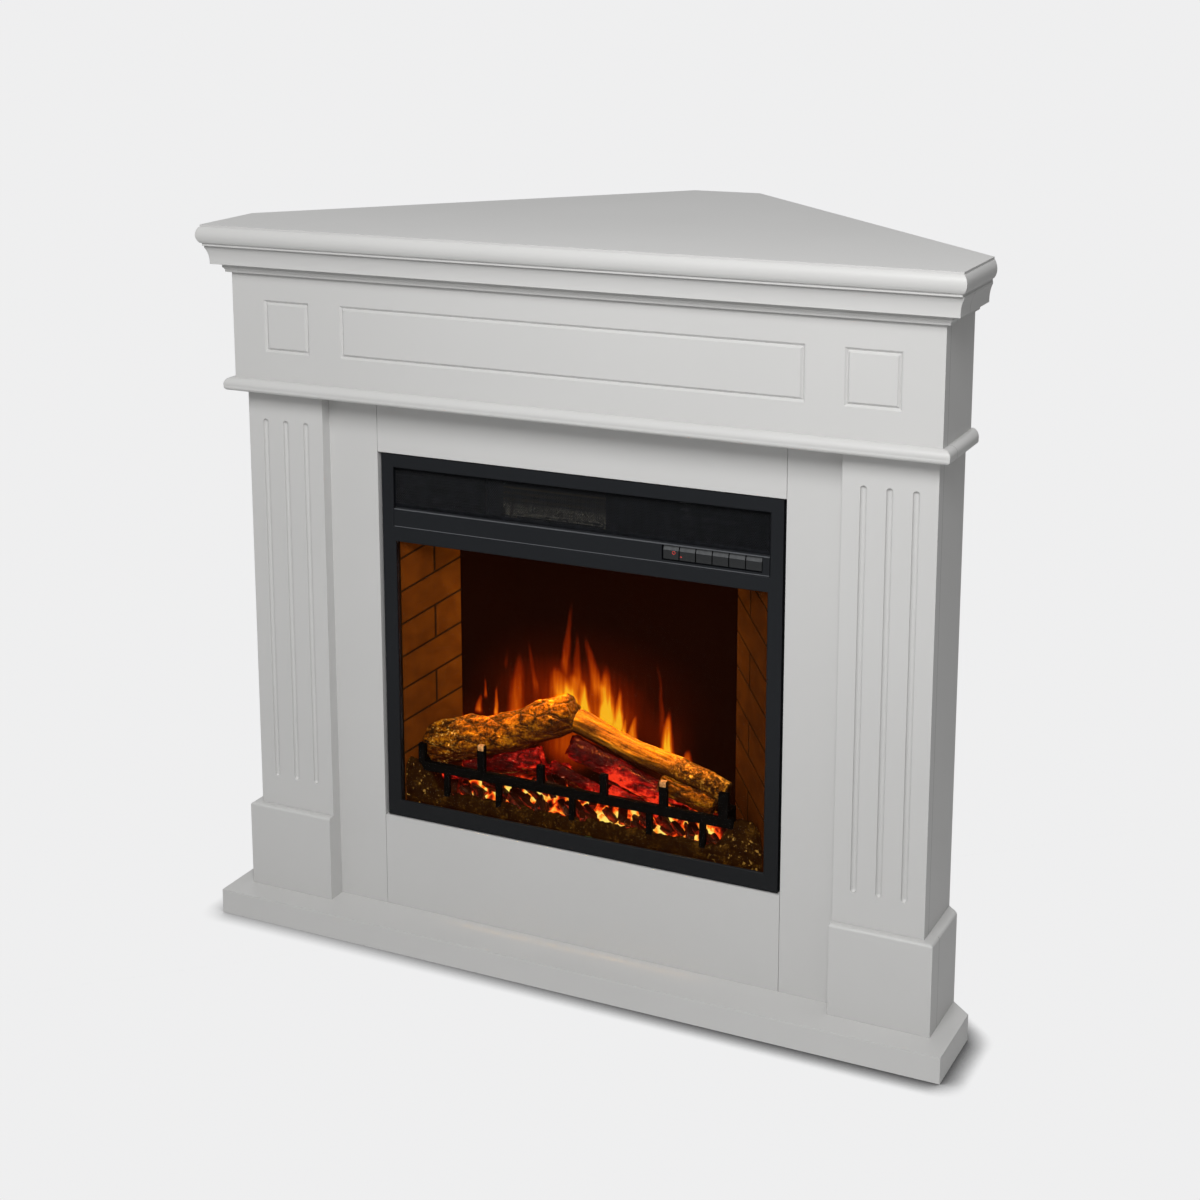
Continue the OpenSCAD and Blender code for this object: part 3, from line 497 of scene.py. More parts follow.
def bark(name="bark", bright=1.0):
    """Golden-brown crinkled bark, furrowed along the log, with painted firelight on its upper
    side and painted shade, dark and reddish, below.
    """
    f = Finish(name)
    x = f.axes()[0]
    wander = f.warped(30, 0.02)
    furrow = f.cells(60, "DISTANCE_TO_EDGE", place=f.scaled(0.34, 1, 1, wander))
    lump = f.noise(75, 6, 0.72, place=f.scaled(0.5, 1, 1))
    grit = f.noise(260, 4, 0.75)
    tone = 0.8 * lump + 0.1 + 0.6 * (grit - 0.5)
    tint = tone.ramp((0.38, (0.008, 0.0018, 0.0002)), (0.47, (0.100, 0.022, 0.0008)),
                     (0.58, (0.36, 0.105, 0.002)), (0.73, (0.85, 0.37, 0.016)))
    # A bright below 1 darkens the whole bark, for a darker copy: painted shade.
    tint = f.mix(1 - bright, tint, (0.006, 0.002, 0.0004))
    crack = (1 - furrow.step(0.0, 0.10)) * lump.step(0.66, 0.50)
    tint = f.mix(crack, tint, (0.012, 0.003, 0.001))
    # Painted shade: undersides darker and reddish, and faces turned to the right darker still.
    right, _, up = f.facing()
    tint = f.mix((0.10 - 1.4 * up).clamped(), tint, (0.070, 0.006, 0.001))
    tint = f.mix(right.step(0.45, 0.8) * 0.85, tint, (0.020, 0.006, 0.0015))
    # Painted glints: bright gold specks towards the log's left end, which also feed the painted
    # firelight.
    painted_glint = f.axes(f.cells(520, place=wander, output="Color"))[0].step(0.84, 0.94)
    painted_glint = painted_glint * (1 - x.step(-0.200, -0.155)) * lump.step(0.42, 0.6)
    tint = f.mix(painted_glint * 0.7, tint, (0.90, 0.50, 0.10))
    # Painted firelight: an emission strongest on upward faces.
    lit = (0.40 + 0.60 * up).clamped() + 0.3 * painted_glint
    return f.done(Base_Color=tint, Roughness=0.45 + 0.2 * lump, Specular_IOR_Level=0.25,
                  Specular_Tint=AMBER, Emission_Color=f.mix(0.55 * lit, BLACK, tint),
                  Emission_Strength=1.0,
                  Normal=f.bump(1.3 * lump + 0.7 * grit + 0.7 * furrow.step(0, 0.15), 3.4 * MM))


def smooth_wood():
    """Split wood with bark at its lower end: long fibres, with painted firelight on its upper
    side and painted shade below and on faces turned to the right, the cut among them.
    """
    f = Finish("smooth_wood")
    turn = node(f.tree, "ShaderNodeMapping", {}, {0: f.place, "Rotation": (0, RIGHT_LOG_TILT, 0)})
    fibre = f.noise(1, 5, 0.62, place=f.scaled(14, 190, 190, turn))
    lump = f.noise(30, 3)
    grit = f.noise(330, 3, 0.7)
    tone = 0.7 * fibre + 0.3 * lump + 0.25 * (grit - 0.5)
    tint = tone.ramp((0.36, (0.024, 0.005, 0.0005)), (0.46, (0.11, 0.030, 0.0012)),
                     (0.56, (0.28, 0.090, 0.003)), (0.68, (0.52, 0.21, 0.010)))
    rough = f.noise(90, 5, 0.72) + 0.5 * (grit - 0.5)
    crust = rough.ramp((0.40, (0.008, 0.002, 0.0005)), (0.52, (0.11, 0.032, 0.0015)),
                       (0.68, (0.66, 0.30, 0.030)))
    x, _, z = f.axes()
    end = (x + 0.05 * (lump - 0.5) - 0.5 * (z - 0.29)).step(0.108, 0.132)
    tint = f.mix(end, tint, crust)
    # Painted shade: undersides darker, and faces turned to the right, the cut end among them,
    # darker still.
    right, _, up = f.facing()
    tint = f.mix((0.25 - 1.5 * up).clamped(), tint, (0.045, 0.008, 0.001))
    tint = f.mix(right.step(0.55, 0.85) * 0.9, tint, (0.012, 0.004, 0.001))
    # Painted firelight: an emission strongest on upward faces.
    lit = (0.35 + 0.65 * up).clamped()
    return f.done(Base_Color=tint, Roughness=0.5, Specular_IOR_Level=0.2,
                  Specular_Tint=AMBER, Emission_Color=f.mix(0.55 * lit, BLACK, tint),
                  Emission_Strength=1.0,
                  Normal=f.bump(fibre + 0.3 * grit + end * rough, 1.6 * MM))


def cast_iron():
    """Matt black grate."""
    f = Finish("cast_iron")
    grain = f.noise(700, 3)
    return f.done(Base_Color=grain.ramp((0.3, (0.0008,) * 3), (0.7, (0.003, 0.0022, 0.0018))),
                  Roughness=0.65, Specular_IOR_Level=0.05,
                  Normal=f.bump(grain, 0.1 * MM, 1.0, f.eased_edges(0.8 * MM)))


def circuit_lacquer():
    """Green lacquered board with fine tracks."""
    f = Finish("circuit_lacquer")
    track = f.cells(240, "DISTANCE_TO_EDGE")
    tint = f.mix(track.step(0.04, 0.06), (0.03, 0.16, 0.06), (0.012, 0.07, 0.03))
    return f.done(Base_Color=tint, Roughness=0.3)


def bright_foil(name="bright_foil", tone=0.8):
    """Rolled bright metal."""
    f = Finish(name)
    rolled = f.noise(1, 2, place=f.scaled(30, 900, 900))
    return f.done(Base_Color=rolled.ramp((0.3, (tone * 0.92,) * 3), (0.7, (tone,) * 3)),
                  Metallic=1.0, Roughness=0.22)


def motor_plastic(name, tone):
    """Moulded housing plastic with a fine grain."""
    f = Finish(name)
    grain = f.noise(1100, 2)
    return f.done(Base_Color=f.mix(grain, tone, tuple(c * 0.9 for c in tone)), Roughness=0.5,
                  Normal=f.bump(grain, 0.03 * MM))


FIN_PITCH = 8.5 * MM


def heater_fins():
    """Bare fins on a ceramic block, straw-coloured by heat, with a painted glow on a band across
    the block and on the fins, and painted shade between them.
    """
    f = Finish("heater_fins")
    z = f.axes()[2]
    spot = f.noise(300, 3, 0.7)
    # Painted light: a band across the block, which glows with the fins.
    band = z.step(0.614, 0.620) * (1 - z.step(0.634, 0.640))
    line = z.maths("FRACT", z / FIN_PITCH)
    fin = 1 - abs(line - 0.5).step(0.06, 0.16)
    tint = spot.ramp((0.45, (0.006, 0.005, 0.003)), (0.62, (0.26, 0.24, 0.19)))
    tint = f.mix(fin * (1 - band), tint, (0.10, 0.07, 0.02))
    # Painted shade: all but the band and the fins darkened towards black.
    tint = f.mix(0.75 - 0.75 * (band + fin).clamped(), tint, (0.004, 0.0035, 0.003))
    return f.done(Base_Color=tint, Metallic=0.3, Roughness=0.5, Specular_IOR_Level=0.2,
                  Emission_Color=f.mix(0.5 * band + 0.3 * fin, BLACK, tint),
                  Emission_Strength=1.0)


def key_gloss():
    """Glossy black keycap plastic, with a painted reflection on its upward faces."""
    f = Finish("key_gloss")
    smear = f.noise(220, 3)
    up = f.facing()[2]
    # Painted reflection: upward faces get a lighter grey, broken up by the smear noise.
    tint = f.mix(up.step(0.12, 0.5) * (0.4 + 0.6 * smear), (0.006, 0.007, 0.008),
                 (0.16, 0.165, 0.17))
    return f.done(Base_Color=tint, Roughness=0.12 + 0.14 * smear,
                  Specular_IOR_Level=0.6,
                  Normal=f.bump(smear, 0.05 * MM, 0.6, f.eased_edges(0.6 * MM)))


def lamp_red():
    """A red indicator lens."""
    f = Finish("lamp_red")
    glow = f.noise(900, 1).ramp((0.3, (0.10, 0.008, 0.006)), (0.7, (0.28, 0.03, 0.025)))
    return f.done(Base_Color=(0.25, 0.02, 0.015), Roughness=0.25, Emission_Color=glow,
                  Emission_Strength=1.0)


def painted_post_glow():
    """Painted firelight on the tip of a post: a golden colour that also glows."""
    f = Finish("painted_post_glow")
    wear_and_glow = f.noise(260, 3, 0.7)
    # Painted firelight: golden tint, given again as emission.
    tint = wear_and_glow.ramp((0.35, (0.20, 0.06, 0.012)), (0.65, (0.62, 0.32, 0.10)))
    return f.done(Base_Color=tint, Roughness=0.5, Emission_Color=tint, Emission_Strength=0.5)


def dress_nodes():
    """Gives every carried-over node its finish, by material slot."""
    finishes = {
        "painted_board": board_paint(), "zinc_screw": zinc_screw(),
        "black_frame": frame_enamel(), "black_mesh": screen_wire(),
        "amber_glass": clear_glass(), "case_steel": sheet_steel(),
        "black_rubber": black_rubber(), "brick_liner": liner_brick(),
        "dark_screen": flame_light(), "ember_resin": ember_glow(),
        "cast_grate": cast_iron(), "log_resin": bark(), "circuit_board": circuit_lacquer(),
        "bright_reflector": bright_foil(),
        "motor_plastic": motor_plastic("motor_plastic", (0.55, 0.50, 0.36)),
        "bearing_metal": sheet_steel("bearing_metal", 0.5),
        "blower_metal": bright_foil("blower_metal", 0.6),
        "motor_black": motor_plastic("motor_black", (0.03, 0.03, 0.032)),
        "heater_ceramic": heater_fins(), "gloss_key": key_gloss(),
    }
    for part in frame["record"]["subparts"]:
        item = frame["nodes"][part["node"]]
        item.data.materials.clear()
        item.data.materials.append(finishes[part["material_slot"]])
    return finishes


# ---------- modelling ----------

def begin(kind, name, **size):
    """Adds a primitive and leaves it alone in the selection, in edit mode."""
    bpy.ops.object.select_all(action="DESELECT")
    getattr(bpy.ops.mesh, f"primitive_{kind}_add")(**size)
    piece = bpy.context.object
    piece.name = piece.data.name = name
    bpy.ops.object.transform_apply(location=True, rotation=True, scale=True)
    bpy.ops.object.mode_set(mode="EDIT")
    return piece


def pick(piece, kind, wanted):
    """Selects the vertices, edges or faces that wanted() accepts, and nothing else."""
    bpy.ops.mesh.select_mode(type=kind)
    bpy.ops.mesh.select_all(action="DESELECT")
    shape = bmesh.from_edit_mesh(piece.data)
    for item in {"VERT": shape.verts, "EDGE": shape.edges, "FACE": shape.faces}[kind]:
        item.select_set(wanted(item))
    shape.select_flush_mode()
    bmesh.update_edit_mesh(piece.data)


def pull(piece, at, reach, move):
    """Drags what lies near a place, and the shape round it less and less."""
    pick(piece, "VERT", lambda point: (point.co - at).length < reach / 4)
    bpy.ops.transform.translate(value=move, use_proportional_edit=True,
                                proportional_edit_falloff="SMOOTH", proportional_size=reach)


def trim(piece, at, outward):
    """Cuts away what lies beyond a plane, and closes the cut."""
    pick(piece, "FACE", lambda face: True)
    bpy.ops.mesh.bisect(plane_co=at, plane_no=outward, use_fill=True, clear_outer=True)


def leave_edit():
    """Goes back to object mode, where modifiers are applied."""
    if bpy.context.mode != "OBJECT":
        bpy.ops.object.mode_set(mode="OBJECT")


def roughen(piece, kind, scale, strength, level=0.5, stretch=None, direction="NORMAL",
            **settings):
    """Moves the surface in and out by a solid texture, which may be stretched."""
    leave_edit()
    texture = bpy.data.textures.new(f"{piece.name}_{kind.lower()}", kind)
    texture.noise_scale = scale
    for name, setting in settings.items():
        setattr(texture, name, setting)
    modifier = piece.modifiers.new(kind.lower(), "DISPLACE")
    modifier.texture = texture
    modifier.strength = strength
    modifier.mid_level = level
    modifier.direction = direction
    if stretch:
        grain = bpy.data.objects.new("grain", None)
        grain.rotation_euler, grain.scale = stretch
        bpy.context.collection.objects.link(grain)
        bpy.context.view_layer.update()
        modifier.texture_coords = "OBJECT"
        modifier.texture_coords_object = grain
    bpy.ops.object.modifier_apply(modifier=modifier.name)
    if stretch:
        bpy.data.objects.remove(grain)


def repeat(piece, count, step):
    """Sets a row of copies, each a step from the last."""
    leave_edit()
    row = piece.modifiers.new("row", "ARRAY")
    row.count = count
    row.use_relative_offset = False
    row.use_constant_offset = True
    row.constant_offset_displace = step
    bpy.ops.object.modifier_apply(modifier=row.name)


def thicken(piece, thickness, offset=-1):
    """Gives a sheet its thickness, inwards unless the offset says otherwise."""
    leave_edit()
    shell = piece.modifiers.new("shell", "SOLIDIFY")
    shell.thickness = thickness
    shell.offset = offset
    bpy.ops.object.modifier_apply(modifier=shell.name)


def join(pieces, name):
    """Makes one piece of several."""
    bpy.ops.object.select_all(action="DESELECT")
    for piece in pieces:
        piece.select_set(True)
    bpy.context.view_layer.objects.active = pieces[0]
    bpy.ops.object.join()
    pieces[0].name = pieces[0].data.name = name
    return pieces[0]


def settle(piece, material, *nodes, body=ROOT_BODY, slot=None, smooth=None):
    """Ends a piece's making: shading, material, the body it rides on and what it stands for."""
    leave_edit()
    if smooth:
        bpy.ops.object.shade_smooth_by_angle(angle=math.radians(smooth))
    piece.data.materials.clear()
    piece.data.materials.append(material)
    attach(piece, body)
    if nodes:
        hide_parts(*nodes)
    return piece


# The rounding of a cut end: how far in and how far out each ring goes, in shares of the radius.
END_RINGS = [(0.07, 0.11), (0.09, 0.06), (0.12, 0.03), (0.16, 0.01), (0.16, 0), (0.16, 0)]


def round_off(radius):
    """Rounds the rims of the selected end faces and closes them with a fan."""
    for inwards, outwards in END_RINGS:
        bpy.ops.mesh.inset(thickness=inwards * radius, depth=outwards * radius,
                           use_individual=True, use_even_offset=False)
    bpy.ops.mesh.poke()


def round_log(name, left, right, half_y, half_z, sides, rings):
    """A straight log with rings along it and in its ends, left in edit mode."""
    run = right - left
    axis = run.normalized()
    middle = (left + right) / 2
    tilt = math.atan2(run.z, run.x)
    piece = begin("cylinder", name, vertices=sides, radius=half_z, depth=run.length,
                  location=middle, rotation=(0, math.pi / 2 - tilt, 0))
    bpy.ops.transform.resize(value=(1, half_y / half_z, 1), center_override=middle)
    pick(piece, "EDGE", lambda edge: abs((edge.verts[1].co - edge.verts[0].co) @ axis)
         > 0.9 * run.length)
    bpy.ops.mesh.subdivide(number_cuts=rings)
    pick(piece, "FACE", lambda face: abs(face.normal @ axis) > 0.9)
    round_off(half_z)
    return piece


def along(left, right, stretch):
    """The turn and scale of a texture that is stretched along a log."""
    run = right - left
    return (0, -math.atan2(run.z, run.x), 0), (stretch, 1, 1)


# ---------- fire bed ----------

def liner_plane(side):
    """A place on a side liner and the direction outwards through it."""
    return place(side * (LINER_FRONT_X - 3), LINER_Y, 0), Vector((side, LINER_LEAN, 0))


LOG_Y = 115.5
# Humps and hollows of the upper logs in millimetres: place, reach and rise.
LEFT_LOG_PULLS = [(-150, LOG_Y, 262, 100, -6), (-42, LOG_Y, 374, 55, -4),
                  (-112, 110, 335, 70, -8), (-205, 110, 305, 50, 4)]
RIGHT_LOG_PULLS = [(60, LOG_Y, 332, 60, -3), (150, LOG_Y, 304, 50, 3)]


def pull_all(piece, pulls):
    """Makes a log's humps and hollows."""
    for x, y, z, reach, rise in pulls:
        pull(piece, place(x, y, z), reach * MM, (0, 0, rise * MM))


def make_left_log(material):
    """The upper left log: thick, humped at its right-hand end and cut slantwise at the left."""
    left, right = place(-236, LOG_Y, 268), place(-22, LOG_Y, 350)
    piece = round_log("bark_log_left", left, right, 22 * MM, 30 * MM, 120, 130)
    pull_all(piece, LEFT_LOG_PULLS)
    roughen(piece, "CLOUDS", 0.045, 9 * MM, noise_depth=1)
    grain = along(left, right, 3)
    roughen(piece, "VORONOI", 0.010, 3.5 * MM, 0.25, grain, weight_1=-1, weight_2=1)
    roughen(piece, "CLOUDS", 0.008, 4.5 * MM, 0.5, grain, noise_depth=4)
    roughen(piece, "CLOUDS", 0.0035, 1.8 * MM, noise_depth=3)
    bpy.ops.object.mode_set(mode="EDIT")
    trim(piece, *liner_plane(-1))
    return settle(piece, material, "log_left", slot="log_resin", smooth=75)


def make_right_log(material):
    """The upper right log: thinner and split smooth, leaning down to the right."""
    left, right = place(-14, LOG_Y, 339), place(199, LOG_Y, 274)
    piece = round_log("split_log_right", left, right, 15 * MM, 16 * MM, 90, 130)
    pull_all(piece, RIGHT_LOG_PULLS)
    grain = along(left, right, 6)
    roughen(piece, "CLOUDS", 0.030, 6 * MM, noise_depth=1)
    roughen(piece, "CLOUDS", 0.005, 3.0 * MM, 0.5, grain, noise_depth=3)
    roughen(piece, "CLOUDS", 0.003, 1.0 * MM, noise_depth=2)
    return settle(piece, material, "log_right", slot="log_resin", smooth=75)


# The lower logs in millimetres: left and right end, half depth and half height.
CHARRED = [
    ((-174, 99.5, 246), (-62, 99.5, 285), 9, 16), ((-16, 103, 307), (110, 103, 262), 10, 19),
    ((-44, 98, 276), (36, 98, 247), 8, 11), ((-150, 131, 236), (-34, 131, 262), 7, 9),
    ((22, 131, 258), (150, 131, 240), 7, 9), ((44, 97, 258), (112, 97, 238), 7, 9),
    ((-214, 100, 234), (-150, 100, 242), 8, 10),
]
STUMP = ((114, 102, 277), (188, 102, 258), 11, 14)


def make_charred_logs(material, bark_material):
    """The lower logs: charred ones that glow red, and a stump with bark on it."""
    pieces = []
    for number, (left, right, half_y, half_z) in enumerate(CHARRED):
        left, right = place(*left), place(*right)
        piece = round_log(f"charred_log_{number}", left, right, half_y * MM, half_z * MM, 44, 60)
        grain = along(left, right, 2.2)
        roughen(piece, "VORONOI", 0.014, 6 * MM, 0.4, grain, weight_1=-1, weight_2=1)
        roughen(piece, "CLOUDS", 0.006, 3 * MM, noise_depth=3)
        pieces.append(piece)
    logs = join(pieces, "charred_logs")
    settle(logs, material, "under_logs", slot="log_resin", smooth=60)
    left, right = place(*STUMP[0]), place(*STUMP[1])
    stump = round_log("stump", left, right, STUMP[2] * MM, STUMP[3] * MM, 60, 60)
    roughen(stump, "VORONOI", 0.010, 4 * MM, 0.3, along(left, right, 2), weight_1=-1, weight_2=1)
    roughen(stump, "CLOUDS", 0.006, 4 * MM, noise_depth=4)
    settle(stump, bark_material, slot="log_resin", smooth=60)


# The ember bed's rise in millimetres at places back from the base board's front edge.
BED_ROWS = [(81.0, 188), (81.5, 209), (86, 214), (92, 211), (98, 206), (106, 213),
            (118, 228), (142, 238)]
BED_MOUNDS = (-249, 236)
BED_CLEARANCE = 1.8


def bed_height(y):
    """The bed's height at a place between its rows."""
    for (near, low), (far, high) in zip(BED_ROWS, BED_ROWS[1:]):
        if y <= far:
            share = (1 - math.cos(math.pi * (y - near) / (far - near))) / 2
            return low + (high - low) * share
    return BED_ROWS[-1][1]


def make_ember_bed(material):
    """The bed: a strip of ash, a glowing hollow and a slope, with a mound at each end."""
    rows = [81.0, 81.1, 81.2, 81.35, 81.5, 82.2, 83] + [83 + 59 * n / 32 for n in range(1, 33)]
    piece = begin("grid", "ash_and_embers", x_subdivisions=260, y_subdivisions=len(rows) - 1,
                  size=2)
    for row, y in enumerate(rows):
        half = LINER_FRONT_X - BED_CLEARANCE - LINER_LEAN * max(0, y - LINER_Y)
        old = -1 + 2 * row / (len(rows) - 1)
        pick(piece, "VERT", lambda point: abs(point.co.y - old) < 0.5 / len(rows)
             and point.co.z == 0)
        bpy.ops.transform.resize(value=(half * MM, 1, 1), center_override=(0, 0, 0))
        spot = place(0, y, bed_height(y))
        bpy.ops.transform.translate(value=(0, spot.y - old, spot.z))
    for x in BED_MOUNDS:
        pull(piece, place(x, 90, 212), 36 * MM, (0, 0, 40 * MM))
    foot = place(0, *BED_ROWS[0])
    pick(piece, "VERT", lambda point: abs(point.co.y - foot.y) < 0.05 * MM)
    bpy.ops.transform.resize(value=(1, 1, 0), center_override=foot)
    for kind, scale, strength in (("CLOUDS", 0.022, 10 * MM), ("VORONOI", 0.009, -5 * MM),
                                  ("CLOUDS", 0.004, 3 * MM)):
        roughen(piece, kind, scale, strength, direction="Z")
    thicken(piece, 9 * MM)
    return settle(piece, material, "ember_bed", slot="ember_resin", smooth=70)


CHIP_COUNT = 80
CHIP_SEED = 7


def make_chips(material):
    """Burnt chips lying in the embers: one is modelled, and each copy is turned and scaled."""
    chip = begin("cube", "burnt_chips", size=10 * MM)
    bpy.ops.transform.resize(value=(2.4, 0.8, 0.7), center_override=(0, 0, 0))
    bpy.ops.mesh.subdivide(number_cuts=5, smoothness=0.35)
    roughen(chip, "VORONOI", 0.007, 3 * MM, weight_1=-1, weight_2=1)
    roughen(chip, "CLOUDS", 0.004, 1.5 * MM)
    chance = random.Random(CHIP_SEED)
    copies = []
    for number in range(CHIP_COUNT):
        x = chance.uniform(-205, 205)
        y = chance.uniform(93, 114) if number % 4 else chance.uniform(114, 136)
        turn = Euler((chance.uniform(-0.5, 0.5), chance.uniform(0.1, 0.9),
                      chance.uniform(-1.3, 0.2)))
        size = chance.uniform(0.8, 1.35)
        copy = chip.copy()
        copy.data = chip.data.copy()
        spot = place(x, y, bed_height(y) + 4)
        copy.data.transform(Matrix.Translation(spot) @ turn.to_matrix().to_4x4()
                            @ Matrix.Diagonal((size, size, size * chance.uniform(0.8, 1.3), 1)))
        bpy.context.collection.objects.link(copy)
        copies.append(copy)
    bpy.data.objects.remove(chip)
    return settle(join(copies, "burnt_chips"), material, slot="ember_resin", smooth=50)


# The posts with painted firelight on their tips: middle and height in millimetres.
LIT_POSTS = [(-145.5, 291), (124.5, 288)]


def make_post_tips(material):
    """Bright caps with painted firelight on the tips of two of the grate's posts."""
    for number, (x, top) in enumerate(LIT_POSTS):
        middle = place(x, 84.5, top - 2.5)
        piece = begin("cube", f"post_tip_{number}", size=1, location=middle)
        bpy.ops.transform.resize(value=(9 * MM, 7.6 * MM, 8 * MM), center_override=middle)
        bpy.ops.mesh.bevel(offset=1.2 * MM, segments=3)
        pick(piece, "FACE", lambda face: face.normal.z > 0.9)
        bpy.ops.mesh.inset(thickness=1 * MM)
        settle(piece, material, slot="cast_grate", smooth=40)


# ---------- outlet and keys ----------

# The stretch of the outlet in front of the heater, which has no gauze, in millimetres.
HEATER_FROM = -132
HEATER_TO = 40
GAUZE_PITCH = 1.7 * MM
WEAVE_SLOPE = math.radians(52)
WEAVE_PITCH = 3.2 * MM
WEAVE_CROSSINGS = 34


def make_gauze(material, side, left, right, low, high):
    """Fine straight threads behind the weave, where no air comes out: a near-black screen, darker
    than the weave's wire, that stands in for the shade behind the outlet as painted shade.
    """
    middle = Vector(((left + right) / 2, place(0, 84.6, 0).y, (low + high) / 2))
    for name, turned in (("upright", False), ("level", True)):
        run, width = (right - left, high - low) if turned else (high - low, right - left)
        count = int((width - 4 * MM) / GAUZE_PITCH)
        step = Vector((0, 0, GAUZE_PITCH) if turned else (GAUZE_PITCH, 0, 0))
        thread = begin("cylinder", f"gauze_{side}_{name}", vertices=4, radius=0.74 * MM,
                       depth=run - 3 * MM, location=middle - step * (count - 1) / 2,
                       rotation=(0, math.pi / 2 if turned else 0, 0))
        repeat(thread, count, step)
        settle(thread, material, slot="black_mesh")


def make_weave(material):
    """The outlet's woven screen: one crimped wire, repeated, and the same turned round."""
    lo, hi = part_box("vent_mesh")
    middle = Vector(((lo[0] + hi[0]) / 2, place(0, 83.1, 0).y, (lo[2] + hi[2]) / 2))
    step = WEAVE_PITCH / 2 / math.cos(WEAVE_SLOPE)
    length = WEAVE_CROSSINGS * step
    wire = begin("cylinder", "weave_rising", vertices=5, radius=0.64 * MM, depth=length,
                 location=middle, rotation=(0, math.pi / 2 - WEAVE_SLOPE, 0))
    axis = Vector((math.cos(WEAVE_SLOPE), 0, math.sin(WEAVE_SLOPE)))
    pick(wire, "EDGE", lambda edge: abs((edge.verts[1].co - edge.verts[0].co) @ axis)
         > 0.9 * length)
    bpy.ops.mesh.subdivide(number_cuts=WEAVE_CROSSINGS - 1)
    for side in (0, 1):
        pick(wire, "VERT", lambda point: round((point.co - middle) @ axis / step) % 2 == side)
        bpy.ops.transform.translate(value=(0, (side - 0.5) * 0.9 * MM, 0))
    half_count = math.ceil((hi[0] - lo[0]) / 2 / WEAVE_PITCH) + 8
    repeat(wire, 2 * half_count + 1, (WEAVE_PITCH, 0, 0))
    bpy.ops.object.mode_set(mode="EDIT")
    bpy.ops.mesh.select_all(action="SELECT")
    bpy.ops.transform.translate(value=(-half_count * WEAVE_PITCH, 0, 0))
    for side in (-1, 1):
        trim(wire, Vector((side * (hi[0] - 1 * MM), 0, 0)), Vector((side, 0, 0)))
        trim(wire, Vector((0, 0, hi[2] - 1 * MM if side > 0 else lo[2])), Vector((0, 0, side)))
    settle(wire, material, "vent_mesh", slot="black_mesh", smooth=60)
    back = wire.copy()
    back.data = wire.data.copy()
    back.name = back.data.name = "weave_falling"
    back.data.transform(Matrix.Translation(middle) @ Matrix.Rotation(math.pi, 4, "Z")
                        @ Matrix.Translation(-middle))
    bpy.context.collection.objects.link(back)
    # The gauze's wire is darkened to 0.15 of the weave wire's tone and shine: painted shade.
    gauze = screen_wire("gauze_wire_painted_shade", 0.15)
    make_gauze(gauze, "left", lo[0], HEATER_FROM * MM, lo[2], hi[2])
    make_gauze(gauze, "right", HEATER_TO * MM, hi[0], lo[2], hi[2])
    rim = begin("plane", "weave_rim", size=1, location=middle, rotation=(math.pi / 2, 0, 0))
    bpy.ops.transform.resize(value=(hi[0] - lo[0], 1, hi[2] - lo[2]), center_override=middle)
    bpy.ops.mesh.inset(thickness=4.5 * MM)
    bpy.ops.mesh.delete(type="FACE")
    thicken(rim, 2.6 * MM, offset=0)
    settle(rim, material, slot="black_mesh")


# The red indicators: name, the key that carries it, place across and up, and radius.
KEY_LAMPS = [("key_lamp_ring", "button_1", 140.5, 604.4, 2.0),
             ("key_lamp_dot", "button_2", 150.6, 600.0, 1.0)]


def make_key_lamps(material):
    """Two small red indicators, on the first key and at the corner of the second."""
    for name, body, x, z, radius in KEY_LAMPS:
        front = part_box(body)[0][1]
        at = Vector((x * MM, front, z * MM))
        if "ring" in name:
            piece = begin("torus", name, major_radius=radius * MM, minor_radius=0.5 * MM,
                          major_segments=24, minor_segments=8, location=at,
                          rotation=(math.pi / 2, 0, 0))
            bpy.ops.transform.resize(value=(1, 0.5, 1), center_override=at)
        else:
            piece = begin("uv_sphere", name, segments=16, ring_count=8, radius=radius * MM,
                          location=at)
            bpy.ops.transform.resize(value=(1.5, 0.4, 1), center_override=at)
        settle(piece, material, body=body, slot="gloss_key", smooth=60)


def make_terminal(material):
    """The bright tag at the heater's right-hand end."""
    middle = place(33, 97, 622)
    piece = begin("cube", "heater_tag", size=1, location=middle)
    bpy.ops.transform.resize(value=(2.4 * MM, 1.2 * MM, 5.5 * MM), center_override=middle)
    pick(piece, "FACE", lambda face: face.normal.z > 0.9)
    bpy.ops.mesh.extrude_region_move(TRANSFORM_OT_translate={"value": (-1.5 * MM, 0, 2.5 * MM)})
    bpy.ops.mesh.select_all(action="SELECT")
    bpy.ops.mesh.bevel(offset=0.3 * MM, segments=2)
    settle(piece, material, slot="heater_ceramic", smooth=40)


def make_end_plate(material):
    """A folded dark plate that closes the space at the heater's left-hand end."""
    middle = place(-126, 98, 626.5)
    piece = begin("cube", "heater_end_plate", size=1, location=middle)
    bpy.ops.transform.resize(value=(23 * MM, 1 * MM, 85 * MM), center_override=middle)
    pick(piece, "FACE", lambda face: face.normal.y > 0.9)
    bpy.ops.mesh.inset(thickness=0.4 * MM)
    pick(piece, "FACE", lambda face: face.normal.x > 0.9)
    bpy.ops.mesh.extrude_region_move(TRANSFORM_OT_translate={"value": (0.3 * MM, 0, 0)})
    bpy.ops.mesh.select_all(action="SELECT")
    bpy.ops.mesh.bevel(offset=0.2 * MM, segments=2)
    settle(piece, material, slot="case_steel", smooth=40)


